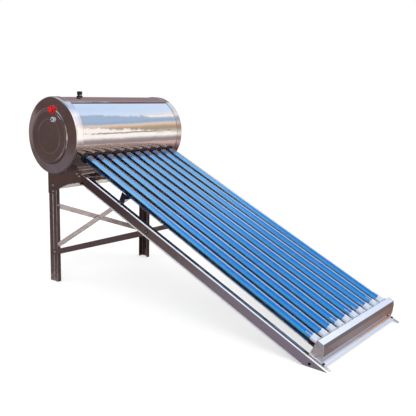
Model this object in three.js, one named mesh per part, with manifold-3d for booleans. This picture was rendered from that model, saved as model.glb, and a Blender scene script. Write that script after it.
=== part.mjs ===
// Compact thermosiphon solar water heater: a horizontal insulated tank on a folded-sheet stand,
// with ten evacuated glass tubes that run from the tank down to a tail stock near the ground.
// Millimetres. +X runs along the tank from left to right, -Y is the sunny front, +Z is up.
// The origin is on the ground at the centre of the whole object's footprint.
// Paired parts are modelled on the left (-X) and mirrored.
import * as THREE from "three";
import { mergeVertices } from "three/addons/utils/BufferGeometryUtils.js";
import Module from "manifold-3d";

const wasm = await Module();
wasm.setup();

// ---------- shared dimensions ----------
const SHEET = 1.5; // sheet steel thickness
const GAP = 0.35; // free gap between pieces that rest on each other

const AXIS_Z = 923; // tank axis above the ground
const SHELL_R = 229.5; // outer shell, outside
const CAP_R = 231.4; // end cap skirt, outside
const TANK_HALF = 460; // end cap rim planes, from the middle

const TUBES = 10;
const PITCH = 80; // centre to centre of the tubes
const TUBE_R = 29; // outer glass
const TUBE_TILT = 24; // tubes to the ground, degrees
const TUBE_DROP = 28; // tube axes pass this far below the tank's axis
const SOCKET_R = TUBE_R + 0.6; // seals and cups round a tube

const RAIL_TILT = 23.3; // rails to the ground, degrees
const RAIL_TOP = { y: -421.5, z: 625.5 }; // a point on the rails' top edge line
const LEG_OUT = 414.6; // legs' outer faces, from the middle
const LEG_FRONT = 25; // y of the legs' front faces
const BOLT = { y: -749, z: 453.5 }; // bolt through rail and side strut
const BOLT_HOLE_R = 5.2;

const TUBE_SEGMENTS = 12;
const TANK_SEGMENTS = 36;
const DRUM_SEGMENTS = 24;
const NECK_SEGMENTS = 16;
const SMALL_SEGMENTS = 12; // bolts, sensor parts and holes in the stand

// ---------- directions and places ----------
const { degToRad, radToDeg } = THREE.MathUtils;
const vector = (x, y, z) => new THREE.Vector3(x, y, z);
const X = vector(1, 0, 0);
const Y = vector(0, 1, 0);
const Z = vector(0, 0, 1);
const LEFT = vector(-1, 0, 0);
// Down a slope that faces the front, and square to it (up).
const downSlope = (tilt) => vector(0, -Math.cos(degToRad(tilt)), -Math.sin(degToRad(tilt)));
const offSlope = (tilt) => vector(0, -Math.sin(degToRad(tilt)), Math.cos(degToRad(tilt)));
const TUBE_DIR = downSlope(TUBE_TILT);
const TUBE_UP = offSlope(TUBE_TILT);

const fromAxis = (x, y = 0, z = 0) => vector(x, y, AXIS_Z + z);
const FIRST_TUBE_X = (-(TUBES - 1) / 2) * PITCH;
const FIRST_TUBE = fromAxis(FIRST_TUBE_X).addScaledVector(TUBE_UP, -TUBE_DROP);
// [along the tubes, square to them], from the tank's axis, to [y, z].
const slopeToYZ = ([along, up]) => [
  along * TUBE_DIR.y + up * TUBE_UP.y,
  AXIS_Z + along * TUBE_DIR.z + up * TUBE_UP.z,
];
const basis = (a, b, c, origin = vector(0, 0, 0)) =>
  new THREE.Matrix4().makeBasis(a, b, c).setPosition(origin);

// ---------- solids ----------
function solid(geometry) {
  // Only positions are kept, so that vertices along seams merge.
  const bare = new THREE.BufferGeometry()
    .setAttribute("position", geometry.getAttribute("position"))
    .setIndex(geometry.index);
  const merged = mergeVertices(bare, 1e-3);
  const index = merged.index.array;
  const triangles = [];
  for (let i = 0; i < index.length; i += 3) {
    const [a, b, c] = index.subarray(i, i + 3);
    if (a !== b && b !== c && a !== c) triangles.push(a, b, c);
  }
  const build = () => new wasm.Manifold(new wasm.Mesh({
    numProp: 3,
    vertProperties: merged.attributes.position.array,
    triVerts: new Uint32Array(triangles),
  }));
  const built = build();
  if (built.volume() > 0) return built;
  // The faces point inwards: turn each one over.
  for (let i = 0; i < triangles.length; i += 3) {
    [triangles[i + 1], triangles[i + 2]] = [triangles[i + 2], triangles[i + 1]];
  }
  return build();
}

function box([x0, x1], [y0, y1], [z0, z1], placement = new THREE.Matrix4()) {
  const geometry = new THREE.BoxGeometry(x1 - x0, y1 - y0, z1 - z0)
    .translate((x0 + x1) / 2, (y0 + y1) / 2, (z0 + z1) / 2)
    .applyMatrix4(placement);
  return solid(geometry);
}

// An outline in the placement's first two axes, run along its third.
function prism(outline, depth, placement) {
  const shape = new THREE.Shape(outline.map(([a, b]) => new THREE.Vector2(a, b)));
  const geometry = new THREE.ExtrudeGeometry(shape, { depth, bevelEnabled: false, steps: 1 });
  return solid(geometry.applyMatrix4(placement));
}

// A [y, z] outline run along X.
const alongX = (outline, x0, x1) => prism(outline, x1 - x0, basis(Y, Z, X, vector(x0, 0, 0)));

// A profile of [radius, position along the axis] turned about an axis through a point.
function turned(profile, segments, axis, origin) {
  const first = axis.x === 0 ? X : Y;
  const points = profile.map(([radius, position]) => new THREE.Vector2(radius, position));
  const placement = basis(first, axis, first.clone().cross(axis), origin);
  return solid(new THREE.LatheGeometry(points, segments).applyMatrix4(placement));
}
const rod = (radius, start, end) => [[0, start], [radius, start], [radius, end], [0, end]];
const ring = (inner, outer, start, end) =>
  [[inner, start], [outer, start], [outer, end], [inner, end], [inner, start]];
const mirrored = (part) => part.mirror([1, 0, 0]);

const aboutTube = (profile) => turned(profile, TUBE_SEGMENTS, TUBE_DIR, FIRST_TUBE);
const aboutTank = (profile, segments = TANK_SEGMENTS) =>
  turned(profile, segments, X, fromAxis(0));

// Every tube's copy of a part made for the first tube.
const tubeRow = (part) =>
  Array.from({ length: TUBES }, (_, i) => part.translate([i * PITCH, 0, 0]));
const tubeHoles = (radius, start, end) =>
  tubeRow(aboutTube(rod(radius, start, end))).reduce((all, hole) => all.add(hole));
const tankTubeHoles = () => tubeHoles(33.4, 90, 300);

// ---------- necks and sensor, placed from the tank's axis ----------
const LEFT_PORT = { y: -38, z: 156 };
const RIGHT_PORT = { y: 0, z: -150 };
const SENSOR = { y: -42, z: 99 };
const VENT_X = -243;
const NECK_R = 13.2; // threaded necks of the ports and the vent
const NECK_BORE_R = 9.5;
const NECK_HOLE_R = 15; // in the shell and the end caps
const PORT_START = 380; // port necks, from the middle
const PORT_END = 493;
const VENT_START = 160; // vent neck, above the tank's axis
const VENT_END = 256;
const SENSOR_HOLE_R = 9;

// Turned about a line that leaves the tank's left end; positions are distances from the middle.
const aboutEndLine = (profile, { y, z }, segments = NECK_SEGMENTS) =>
  turned(profile, segments, LEFT, fromAxis(0, y, z));
const endRod = (place, radius, segments, start = 300, end = 600) =>
  aboutEndLine(rod(radius, start, end), place, segments);
const aboutVent = (profile) => turned(profile, NECK_SEGMENTS, Z, fromAxis(VENT_X));
const ventRod = (radius, start = 150, end = 300) => aboutVent(rod(radius, start, end));

// The same rod at both water ports, left and right.
const portRods = (radius, start, end) =>
  endRod(LEFT_PORT, radius, NECK_SEGMENTS, start, end)
    .add(mirrored(endRod(RIGHT_PORT, radius, NECK_SEGMENTS, start, end)));

// ---------- tank ----------
const SHELL_HALF = TANK_HALF - 12;
const FOAM_HALF = 447;
const SKIRT = 50; // end cap skirt over the shell
const CAP_BULGE = 20; // crown of an end cap past its rim
const BEAD_R = 156; // pressed bead ring of an end cap
const DRUM_R = 180; // inner tank, outside
const DRUM_HALF = 388; // straight part of the inner tank

// End cap's outside: [radius, past the rim plane]. A rounded rim, a cone and a bead ring
// round a flat middle.
const CAP_FACE = [
  [CAP_R, -9], [228.6, -3.2], [222, 0],
  [168, CAP_BULGE - 6], [161, CAP_BULGE - 1], [BEAD_R, CAP_BULGE + 1],
  [151, CAP_BULGE - 1], [145, CAP_BULGE - 4], [0, CAP_BULGE - 3],
];
// Right half of the drum's dished end: [radius, from the middle].
const DRUM_END = [
  [DRUM_R, DRUM_HALF], [172, DRUM_HALF + 20], [150, DRUM_HALF + 34],
  [95, DRUM_HALF + 46], [0, DRUM_HALF + 52],
];

const outerShell = () =>
  aboutTank(ring(SHELL_R - SHEET, SHELL_R, -SHELL_HALF, SHELL_HALF))
    .subtract(tankTubeHoles())
    .subtract(ventRod(NECK_HOLE_R));

const aboutLeftRim = (profile) => turned(profile, TANK_SEGMENTS, LEFT, fromAxis(-TANK_HALF));

// Pressed pan, still without holes.
function capPan() {
  // Full thickness at the skirt, but only a quarter of it radially on the face.
  const inside = CAP_FACE.map(([radius, position]) => [
    Math.max(0, radius - (radius === CAP_R ? SHEET : SHEET * 0.25)),
    position - SHEET,
  ]);
  return aboutLeftRim([
    ...inside.reverse(), [CAP_R - SHEET, -SKIRT],
    [CAP_R, -SKIRT], ...CAP_FACE,
  ]);
}

// Filled end cap with a free gap round it, to trim what rests on the cap.
function capEnvelope() {
  const face = CAP_FACE.map(([radius, position]) => [
    radius === CAP_R ? radius + GAP : radius,
    position + GAP,
  ]);
  return aboutLeftRim([[0, -40], [CAP_R + GAP, -40], ...face]);
}

const leftEndCap = () =>
  capPan()
    .subtract(endRod(LEFT_PORT, NECK_HOLE_R))
    .subtract(endRod(SENSOR, SENSOR_HOLE_R));
const rightEndCap = () => mirrored(capPan().subtract(endRod(RIGHT_PORT, NECK_HOLE_R)));

// Filled drum, grown by an offset.
function drum(offset) {
  const right = DRUM_END.map(([radius, position]) =>
    [radius === 0 ? 0 : radius + offset, position + offset]);
  const left = right.map(([radius, position]) => [radius, -position]).reverse();
  return aboutTank([...left, ...right], DRUM_SEGMENTS);
}

// Drum with dished ends, tube holes, and the vent neck, port necks and sensor well welded on.
const innerTank = () =>
  drum(0)
    .add(ventRod(NECK_R, VENT_START, VENT_END))
    .add(portRods(NECK_R, PORT_START, PORT_END))
    .add(endRod(SENSOR, 8, SMALL_SEGMENTS, 400, 470))
    .subtract(drum(-SHEET))
    .subtract(ventRod(NECK_BORE_R))
    .subtract(portRods(NECK_BORE_R))
    .subtract(endRod(SENSOR, 5, SMALL_SEGMENTS))
    .subtract(tankTubeHoles());

// Foam that fills the space between drum and shell.
const foamInsulation = () =>
  aboutTank(rod(SHELL_R - SHEET - GAP, -FOAM_HALF, FOAM_HALF))
    .subtract(drum(GAP + 0.2))
    .subtract(ventRod(NECK_R + 1))
    .subtract(portRods(NECK_R + 1))
    .subtract(endRod(SENSOR, SENSOR_HOLE_R, SMALL_SEGMENTS))
    .subtract(tankTubeHoles());

// ---------- tank fittings ----------
// Profiles are [radius, position]: above the tank's axis for the vent, from the middle for others.
const VENT_GROMMET = [[14, 215], [18.5, 215], [18.5, 234.5], [16.5, 237], [14, 237], [14, 215]];
const VENT_CAP = [
  [0, 263], [14.2, 263], [16, 261], [16, 242], [13.8, 242], [13.8, 258], [0, 258],
];
const PORT_GROMMET = [[13.9, 455], [25, 455], [25, 484], [22, 487], [13.9, 487], [13.9, 455]];
const PORT_CAP = [
  [0, 497.5], [10, 497.5], [11, 500], [15.5, 500], [17, 498.6], [17, 492.6],
  [15.2, 492.6], [15.2, 487.6], [13.9, 487.6], [13.9, 494.5], [0, 494.5],
];
const SENSOR_PLUG = [
  [0, 486], [12, 486], [15, 483.5], [15, 477.2], [4.6, 477.2], [4.6, 445], [0, 445],
];

// Rubber ring that sits on the shell round the vent neck.
const ventGrommet = () =>
  aboutVent(VENT_GROMMET).subtract(aboutTank(rod(SHELL_R + GAP, -500, 500)));
const ventCap = () => aboutVent(VENT_CAP);

// Ring against the end cap, and a cap on the thread.
const portGrommet = (place) => aboutEndLine(PORT_GROMMET, place).subtract(capEnvelope());
const portCap = (place) => aboutEndLine(PORT_CAP, place);

// Slotted head with a spigot in the sensor well.
function sensorPlug() {
  const slotZ = AXIS_Z + SENSOR.z;
  const slot = box([-490, -484.5], [SENSOR.y - 9, SENSOR.y + 9], [slotZ - 1.5, slotZ + 1.5]);
  return aboutEndLine(SENSOR_PLUG, SENSOR, SMALL_SEGMENTS).subtract(slot);
}

// ---------- tubes, seals and cups ----------
const GLASS = 1.6; // glass wall
const ABSORBER_R = 23.5; // inner glass, outside
const MOUTH = 172; // tube mouth, along the tube from the tank's axis
const TIP = MOUTH + 1818; // tail end of the drawn-off tip
const TAIL_WALL = 1969; // tail stock's tube wall, along the tubes

// Outer and inner glass fused at the mouth; the open stem at the tail leads to the annulus.
const TUBE_PROFILE = [
  [0, TIP - 47], [ABSORBER_R - GLASS, TIP - 62],
  [ABSORBER_R - GLASS, MOUTH + 2], [TUBE_R, MOUTH + 2],
  [TUBE_R, TIP - 24], [19, TIP - 6], [4, TIP],
  [4, TIP - 2.5], [18.5, TIP - 8.5], [TUBE_R - GLASS, TIP - 25],
  [TUBE_R - GLASS, MOUTH + 8], [ABSORBER_R, MOUTH + 8],
  [ABSORBER_R, TIP - 60.5], [0, TIP - 45],
];
const COLLAR_PROFILE = [
  [SOCKET_R, 210], [36.6, 210], [36.6, 235.5], [32, 242], [SOCKET_R, 242], [SOCKET_R, 210],
];
const CUP_PROFILE = [
  [7, 1994], [20, 1994], [SOCKET_R, 1984], [SOCKET_R, 1962], [33.6, 1962],
  [33.6, TAIL_WALL - GAP], [32, TAIL_WALL - GAP], [32, 1985], [22, 1997], [7, 1997], [7, 1994],
];

const vacuumTube = () => aboutTube(TUBE_PROFILE);

// Sleeve through the drum's and the shell's holes, with a collar cut flat where it meets the shell.
function tubeSeal() {
  // The shell's tangent plane where the tube's axis crosses the shell.
  const tilt = TUBE_TILT + radToDeg(Math.asin(TUBE_DROP / SHELL_R));
  const placement = basis(X, downSlope(tilt), offSlope(tilt), fromAxis(FIRST_TUBE_X));
  const face = SHELL_R + GAP;
  const behindTangent = box([-100, 100], [face - 200, face], [-50, 50], placement);
  const collar = aboutTube(COLLAR_PROFILE).subtract(behindTangent);
  return aboutTube(ring(SOCKET_R, 33, 170, 236)).add(collar);
}

// Holds the tube's closed end in the tail stock's wall.
const tailCup = () => aboutTube(CUP_PROFILE);

// ---------- tail stock ----------
const TAIL_HALF = 397;
const TAIL_TOP = 6; // top flange, square to the tubes
// The floor lies on the rails, so it follows their slope.
const floorAt = (along) =>
  -81.2 + (along - 1990) * Math.tan(degToRad(TUBE_TILT - RAIL_TILT)) + GAP;

// Tail sections are [along the tubes, square to them], from the tank's axis.
// Folded from one sheet: tube wall, top flange, leaning front and floor.
const TAIL_SECTION = [
  [TAIL_WALL + 22, floorAt(TAIL_WALL + 22)], [TAIL_WALL, floorAt(TAIL_WALL)],
  [TAIL_WALL, TAIL_TOP], [2002, TAIL_TOP], [2012, -10], [2026, -52],
  [2031, floorAt(2031) + SHEET], [2055, floorAt(2055) + SHEET],
  [2055, floorAt(2055)], [2029.4, floorAt(2029.4)],
  [2024.4, -52.3], [2010.5, -10.6], [2001.2, TAIL_TOP - SHEET],
  [TAIL_WALL + SHEET, TAIL_TOP - SHEET],
  [TAIL_WALL + SHEET, floorAt(TAIL_WALL + SHEET) + SHEET],
  [TAIL_WALL + 22, floorAt(TAIL_WALL + 22) + SHEET],
];
const END_PLATE = [
  [TAIL_WALL - 4, floorAt(TAIL_WALL - 4)], [TAIL_WALL - 3, -40], [TAIL_WALL - 1, 8],
  [2003, 8], [2014, -9], [2028, -51], [2032, floorAt(2032)],
];
const END_PLATE_PLUG = [
  [TAIL_WALL + 3, floorAt(TAIL_WALL) + 4], [TAIL_WALL + 3, -1],
  [2000, -1], [2008, -12], [2022, -52], [2025, floorAt(2025) + 4],
];

const tailStock = () =>
  alongX(TAIL_SECTION.map(slopeToYZ), -TAIL_HALF, TAIL_HALF)
    .subtract(tubeHoles(32.5, 1950, 1980));

// Closes the channel's end, with a plug that reaches inside it.
const tailEndPlate = () =>
  alongX(END_PLATE.map(slopeToYZ), -TAIL_HALF - 3.4, -TAIL_HALF - GAP)
    .add(alongX(END_PLATE_PLUG.map(slopeToYZ), -TAIL_HALF - 1, -TAIL_HALF + 3.6));

// ---------- rails and rail bolts ----------
const RAIL_OUT = 419.3; // rails' outer faces, from the middle
const RAIL_WEB = 54;
const RAIL_FLANGE = 34;
const RAIL_LIP = 5;
const RAIL_START_Y = -216; // upper end
const FLANGE_START_Y = -262; // the top flange is cut back beside the saddle
const TOE_HOLE = { radius: 6, y: -1779, z: 22 };

// Z-section: top flange turned in, web, bottom lip turned out.
// [inwards from the outer face, above the top edge]
const RAIL_SECTION = [
  [0, 0], [RAIL_FLANGE, 0], [RAIL_FLANGE, -SHEET], [SHEET, -SHEET],
  [SHEET, -RAIL_WEB], [-RAIL_LIP, -RAIL_WEB],
  [-RAIL_LIP, SHEET - RAIL_WEB], [0, SHEET - RAIL_WEB],
];
// [radius, x], head first
const BOLT_PROFILE = [
  [0, -426.5], [6, -426.5], [8.5, -425], [8.5, -419.7], [4.8, -419.7], [4.8, -405], [0, -405],
];

const aboutCrossLine = (profile, { y, z }) =>
  turned(profile, SMALL_SEGMENTS, X, vector(0, y, z));
const crossHole = (radius, place) => aboutCrossLine(rod(radius, -500, -400), place);

function rail() {
  const slope = downSlope(RAIL_TILT);
  const start = vector(-RAIL_OUT, RAIL_TOP.y, RAIL_TOP.z).addScaledVector(slope, -400);
  const ground = box([-600, 0], [-2600, 200], [-400, 0]);
  const upperEnd = box([-600, 0], [RAIL_START_Y, 600], [-100, 1600]);
  const flangeEnd = box([-RAIL_OUT + SHEET + 0.01, 0], [FLANGE_START_Y, 0], [560, 900]);
  return prism(RAIL_SECTION, 2400, basis(X, offSlope(RAIL_TILT), slope, start))
    .subtract(ground)
    .subtract(upperEnd)
    .subtract(flangeEnd)
    .subtract(crossHole(BOLT_HOLE_R, BOLT))
    .subtract(crossHole(TOE_HOLE.radius, TOE_HOLE));
}

const railBolt = () => aboutCrossLine(BOLT_PROFILE, BOLT);

// ---------- rear legs ----------
const LEG_BACK = 98; // y of the back face
const LEG_FLANGE = 26;
const LEG_BACK_FLANGE = 38;
const LEG_TOP = 686;

// Channel open towards the middle, with a rib pressed down its web.
// [inwards from the outer face, y]
const LEG_SECTION = [
  [0, LEG_FRONT], [LEG_FLANGE, LEG_FRONT],
  [LEG_FLANGE, LEG_FRONT + SHEET], [SHEET, LEG_FRONT + SHEET],
  [SHEET, 45], [SHEET + 3, 48], [SHEET + 3, 59], [SHEET, 62],
  [SHEET, LEG_BACK - SHEET], [LEG_BACK_FLANGE, LEG_BACK - SHEET],
  [LEG_BACK_FLANGE, LEG_BACK], [0, LEG_BACK],
  [0, 62.6], [3, 59.6], [3, 47.4], [0, 44.4],
];

const rearLeg = () => prism(LEG_SECTION, LEG_TOP, basis(X, Y, Z, vector(-LEG_OUT, 0, 0)));

// ---------- saddles ----------
const SADDLE_R = CAP_R + GAP + 0.25;
const SADDLE_BACK = 24.9; // degrees from straight down, positive towards the back
const SADDLE_FRONT = -46;
const ARC_STEPS = 10;

const tankArc = (radius, from, to) =>
  Array.from({ length: ARC_STEPS + 1 }, (_, i) => {
    const angle = degToRad(from + ((to - from) * i) / ARC_STEPS);
    return [radius * Math.sin(angle), AXIS_Z - radius * Math.cos(angle)];
  });

// [y, z]
const SADDLE_PLATE = [
  [99, 562], ...tankArc(SADDLE_R + 1, SADDLE_BACK + 0.2, SADDLE_FRONT),
  [-224, 706], [-246, 690], [-231, 654], [-207, 646], [-196, 656], [-179, 661],
  [-116, 646], [-58, 625], [-10, 603], [26, 584], [26, 562],
];
const CRADLE = [
  ...tankArc(SADDLE_R, SADDLE_BACK, SADDLE_FRONT),
  ...tankArc(SADDLE_R + 2, SADDLE_FRONT, SADDLE_BACK),
];

// Side plate under an end of the tank, with a cradle flange that follows the tank.
const saddle = () =>
  alongX(SADDLE_PLATE, -417.2, -LEG_OUT - GAP).add(alongX(CRADLE, -446, -416));

// ---------- struts, braces and cross member ----------
const BEHIND_FLANGE = LEG_FRONT + SHEET + GAP; // y behind the legs' front flanges
const BEFORE_FLANGE = LEG_FRONT - GAP;
const BRACE_WIDTH = 31;
const BRACE_LIP = 5;
const STRUT_X = -417;

// Flat bar that overruns both end points, with lips along its edges turned towards a direction.
// The lips stop short of the end points by the trims.
function bar({ from, to, toward, width, overrun, lip, trims }) {
  const length = from.distanceTo(to);
  const direction = to.clone().sub(from).normalize();
  const side = toward.clone().cross(direction).normalize();
  const placement = basis(direction, side, direction.clone().cross(side), from);
  const half = width / 2;
  const lipRun = [trims[0], length - trims[1]];
  return box([-overrun, length + overrun], [-half, half], [0, SHEET], placement)
    .add(box(lipRun, [-half, SHEET - half], [0, lip], placement))
    .add(box(lipRun, [half - SHEET, half], [0, lip], placement));
}

const sideStrut = () =>
  bar({
    from: vector(STRUT_X, 49.5, 189.2),
    to: vector(STRUT_X, BOLT.y, BOLT.z),
    toward: X,
    width: 34,
    overrun: 13,
    lip: 6,
    trims: [46, 66],
  }).subtract(crossHole(BOLT_HOLE_R, BOLT));

// Diagonal across the legs, from the left height to the right height.
const rearBrace = ({ y, leftZ, rightZ, toward, overrun }) =>
  bar({
    from: vector(-401, y, leftZ),
    to: vector(401, y, rightZ),
    toward,
    width: BRACE_WIDTH,
    overrun,
    lip: BRACE_LIP,
    trims: [26, 26],
  });
const fallingBrace = () =>
  rearBrace({ y: BEHIND_FLANGE, leftZ: 488.5, rightZ: 195.5, toward: Y, overrun: 5 });
const risingBrace = () =>
  rearBrace({
    y: BEFORE_FLANGE, leftZ: 241.5, rightZ: 543.5, toward: vector(0, -1, 0), overrun: 8,
  });

// Deep channel between the legs, with two ribs pressed into its face.
function rearCrossMember() {
  const front = BEHIND_FLANGE;
  const back = front + SHEET;
  const flange = front + 20;
  const section = [ // [y, z]
    [front, 592], [flange, 592], [flange, 592 + SHEET], [back, 592 + SHEET],
    [back, 617.4], [back + 5, 622.4], [back + 5, 629.6], [back, 634.6],
    [back, 645.4], [back + 5, 650.4], [back + 5, 657.6], [back, 662.6],
    [back, 691 - SHEET], [flange, 691 - SHEET], [flange, 691], [front, 691],
    [front, 662], [front + 5, 657], [front + 5, 651], [front, 646],
    [front, 634], [front + 5, 629], [front + 5, 623], [front, 618],
  ];
  return alongX(section, -411, 411);
}

// ---------- middle tube rest ----------
const REST_ALONG = 623; // rest's middle, along the tubes
const REST_WIDTH = 38;
const REST_HALF = 397;
// Heights square to the tubes, from the tank's axis.
const REST_BASE = -98.2; // on the rails
const REST_TOP = -TUBE_DROP - TUBE_R - 1.2;
const CHEEK_TOP = -37;

function restPart(x0, x1, bottom, top) {
  const start = fromAxis(0).addScaledVector(TUBE_DIR, REST_ALONG - REST_WIDTH / 2);
  const outline = [[x0, bottom], [x1, bottom], [x1, top], [x0, top]];
  return prism(outline, REST_WIDTH, basis(X, TUBE_UP, TUBE_DIR, start));
}

// Strap under the tubes between two side cheeks whose feet stand on the rails.
function middleTubeRest() {
  const strap = restPart(0.5 - REST_HALF, REST_HALF - 0.5, REST_TOP - SHEET, REST_TOP);
  const cheek = restPart(-REST_HALF, SHEET - REST_HALF, REST_BASE, CHEEK_TOP);
  const foot = restPart(-REST_HALF - 15, SHEET - REST_HALF, REST_BASE, REST_BASE + SHEET);
  const side = cheek.add(foot);
  return strap.add(side).add(mirrored(side));
}

// ---------- materials ----------
const standard = (settings) => new THREE.MeshStandardMaterial(settings);
const MATERIAL = {
  mirrorSteel: standard({ color: 0xcfd6dd, roughness: 0.12, metalness: 1 }),
  darkSteel: standard({ color: 0x5a4a48, roughness: 0.3, metalness: 0.85 }),
  frameSteel: standard({ color: 0x6b5c5a, roughness: 0.38, metalness: 0.8 }),
  paleSteel: standard({ color: 0xc9d2df, roughness: 0.25, metalness: 0.9 }),
  innerSteel: standard({ color: 0xb8b8b6, roughness: 0.35, metalness: 0.9 }),
  foam: standard({ color: 0xe6d9a8, roughness: 0.95, metalness: 0 }),
  blueGlass: standard({ color: 0x1f6fd0, roughness: 0.08, metalness: 0.2 }),
  blackRubber: standard({ color: 0x15130f, roughness: 0.7, metalness: 0 }),
  redPlastic: standard({ color: 0xd01414, roughness: 0.35, metalness: 0 }),
  blackPlastic: standard({ color: 0x17171a, roughness: 0.45, metalness: 0 }),
  cupPlastic: standard({ color: 0x2c2c30, roughness: 0.5, metalness: 0 }),
  greyPlastic: standard({ color: 0x6f666a, roughness: 0.6, metalness: 0 }),
};

// ---------- assembly ----------
// The body is modelled with the tank's axis at y = 0 and moved to centre its footprint,
// which reaches from the rails' toes to the back of the end caps.
const TOE_Y = RAIL_TOP.y - RAIL_TOP.z / Math.tan(degToRad(RAIL_TILT));
const heater = new THREE.Group();
const body = new THREE.Group();
body.position.set(0, -(TOE_Y + CAP_R) / 2, 0);
heater.add(body);

function add(name, part, material) {
  const { vertProperties, triVerts } = part.getMesh();
  const geometry = new THREE.BufferGeometry()
    .setAttribute("position", new THREE.Float32BufferAttribute(vertProperties, 3))
    .setIndex(new THREE.Uint32BufferAttribute(triVerts, 1));
  geometry.computeVertexNormals();
  const mesh = new THREE.Mesh(geometry, material);
  mesh.name = name;
  body.add(mesh);
}
function addPair(name, part, material) {
  add(`left_${name}`, part, material);
  add(`right_${name}`, mirrored(part), material);
}
function addTubeRow(name, part, material) {
  tubeRow(part).forEach((copy, i) => {
    add(`${name}_${String(i + 1).padStart(2, "0")}`, copy, material);
  });
}

add("outer_shell", outerShell(), MATERIAL.mirrorSteel);
add("left_end_cap", leftEndCap(), MATERIAL.darkSteel);
add("right_end_cap", rightEndCap(), MATERIAL.darkSteel);
add("inner_tank", innerTank(), MATERIAL.innerSteel);
add("foam_insulation", foamInsulation(), MATERIAL.foam);

add("vent_grommet", ventGrommet(), MATERIAL.blackRubber);
add("vent_cap", ventCap(), MATERIAL.blackPlastic);
add("left_port_grommet", portGrommet(LEFT_PORT), MATERIAL.redPlastic);
add("left_port_cap", portCap(LEFT_PORT), MATERIAL.redPlastic);
add("right_port_grommet", mirrored(portGrommet(RIGHT_PORT)), MATERIAL.redPlastic);
add("right_port_cap", mirrored(portCap(RIGHT_PORT)), MATERIAL.redPlastic);
add("sensor_plug", sensorPlug(), MATERIAL.paleSteel);

addTubeRow("vacuum_tube", vacuumTube(), MATERIAL.blueGlass);
addTubeRow("tube_seal", tubeSeal(), MATERIAL.blackRubber);
addTubeRow("tail_cup", tailCup(), MATERIAL.cupPlastic);

add("tail_stock", tailStock(), MATERIAL.frameSteel);
addPair("tail_end_plate", tailEndPlate(), MATERIAL.greyPlastic);
addPair("rail", rail(), MATERIAL.frameSteel);
addPair("rear_leg", rearLeg(), MATERIAL.darkSteel);
addPair("saddle", saddle(), MATERIAL.darkSteel);
addPair("side_strut", sideStrut(), MATERIAL.darkSteel);
add("rear_brace_falling", fallingBrace(), MATERIAL.frameSteel);
add("rear_brace_rising", risingBrace(), MATERIAL.frameSteel);
add("rear_cross_member", rearCrossMember(), MATERIAL.frameSteel);
add("middle_tube_rest", middleTubeRest(), MATERIAL.frameSteel);
addPair("rail_bolt", railBolt(), MATERIAL.paleSteel);

export default heater;
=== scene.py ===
"""Solar water heater: a level steel tank on a stand, with ten glass tubes sloping down to the front.

Pieces are drawn in millimetres: x along the tank (left is -x), y from the tank's axis towards
the back, z up from the ground. piece() turns them into metres in the CAD frame.
"""
import math

import bmesh
import bpy
from mathutils import Matrix, Vector


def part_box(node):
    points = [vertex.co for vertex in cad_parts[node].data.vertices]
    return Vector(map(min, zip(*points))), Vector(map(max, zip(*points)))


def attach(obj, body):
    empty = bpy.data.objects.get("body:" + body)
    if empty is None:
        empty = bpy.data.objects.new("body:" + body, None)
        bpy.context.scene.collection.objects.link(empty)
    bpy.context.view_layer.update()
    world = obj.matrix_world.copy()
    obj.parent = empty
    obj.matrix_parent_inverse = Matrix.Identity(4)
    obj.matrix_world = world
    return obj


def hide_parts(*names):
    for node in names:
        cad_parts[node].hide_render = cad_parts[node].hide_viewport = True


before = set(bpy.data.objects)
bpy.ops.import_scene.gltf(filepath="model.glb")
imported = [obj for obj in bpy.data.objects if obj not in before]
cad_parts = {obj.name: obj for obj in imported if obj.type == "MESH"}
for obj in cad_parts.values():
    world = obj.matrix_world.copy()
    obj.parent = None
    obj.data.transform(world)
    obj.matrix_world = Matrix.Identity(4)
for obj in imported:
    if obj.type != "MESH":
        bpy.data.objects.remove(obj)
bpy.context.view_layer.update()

# ------------------------------------------------------------------ driving dimensions
shell_low, shell_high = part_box("outer_shell")
TANK_Y = (shell_low.y + shell_high.y) / 2           # metres
TANK_Z = (shell_low.z + shell_high.z) / 2 * 1000    # millimetres
ROOT = "tank_and_stand"
SIDES = (("left", -1), ("right", 1))

SHEET = 1.5                     # thickness of the folded sheet
HALF = SHEET / 2
TILT = math.radians(24.0)       # tubes
RAIL_TILT = math.radians(23.3)
TUBES, PITCH = 10, 80.0
DROP = 28.0                     # tube axes below the tank's axis, square to the tubes
TUBE_START, TUBE_LENGTH = 172.0, 1818.0
TUBE_END = TUBE_START + TUBE_LENGTH
GLASS_R, COATING_R, GLASS_WALL = 29.0, 23.9, 1.6
SHELL_R, SHELL_HALF = 229.5, 448
CAP_R, TANK_HALF = 231.4, 460.0
VENT_X = -243
UPPER_PORT, LOWER_PORT, SENSOR = (-38, 156), (0, -150), (-42, 99)  # y, z from the tank's axis
TAIL_WALL, TAIL_HALF = 1969.0, 397.0
TAIL_BOLT_X, TAIL_BOLT_ALONG = 390.5, 2043
TAIL_SCREWS = ((1985, -16), (2008, -64))            # along and square to the tubes
RAIL_Y, RAIL_Z = -421.5, 625.5  # a point on the rails' top face
RAIL_OUT, LEG_OUT = 419.3, 414.6
RAIL_TOE_Y = RAIL_Y - RAIL_Z / math.tan(RAIL_TILT)
RAIL_BOLT, TOE_BOLT = (-749, 453.5), (-1779, 15)    # y, z
STRUT_BOLT = (49.5, 189.2)                          # y, z
BOLT_HOLE_R = 3.4

# Directions: down the tubes and the rails, and square to them on the upper side
TUBE_DOWN = Vector((0, -math.cos(TILT), -math.sin(TILT)))
TUBE_UP = Vector((0, -math.sin(TILT), math.cos(TILT)))
RAIL_DOWN = Vector((0, -math.cos(RAIL_TILT), -math.sin(RAIL_TILT)))
RAIL_UP = Vector((0, -math.sin(RAIL_TILT), math.cos(RAIL_TILT)))
X_DIR, Y_DIR, Z_DIR = Vector((1, 0, 0)), Vector((0, 1, 0)), Vector((0, 0, 1))
TANK = Vector((0, 0, TANK_Z))
VENT = Vector((VENT_X, 0, TANK_Z))


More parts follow.
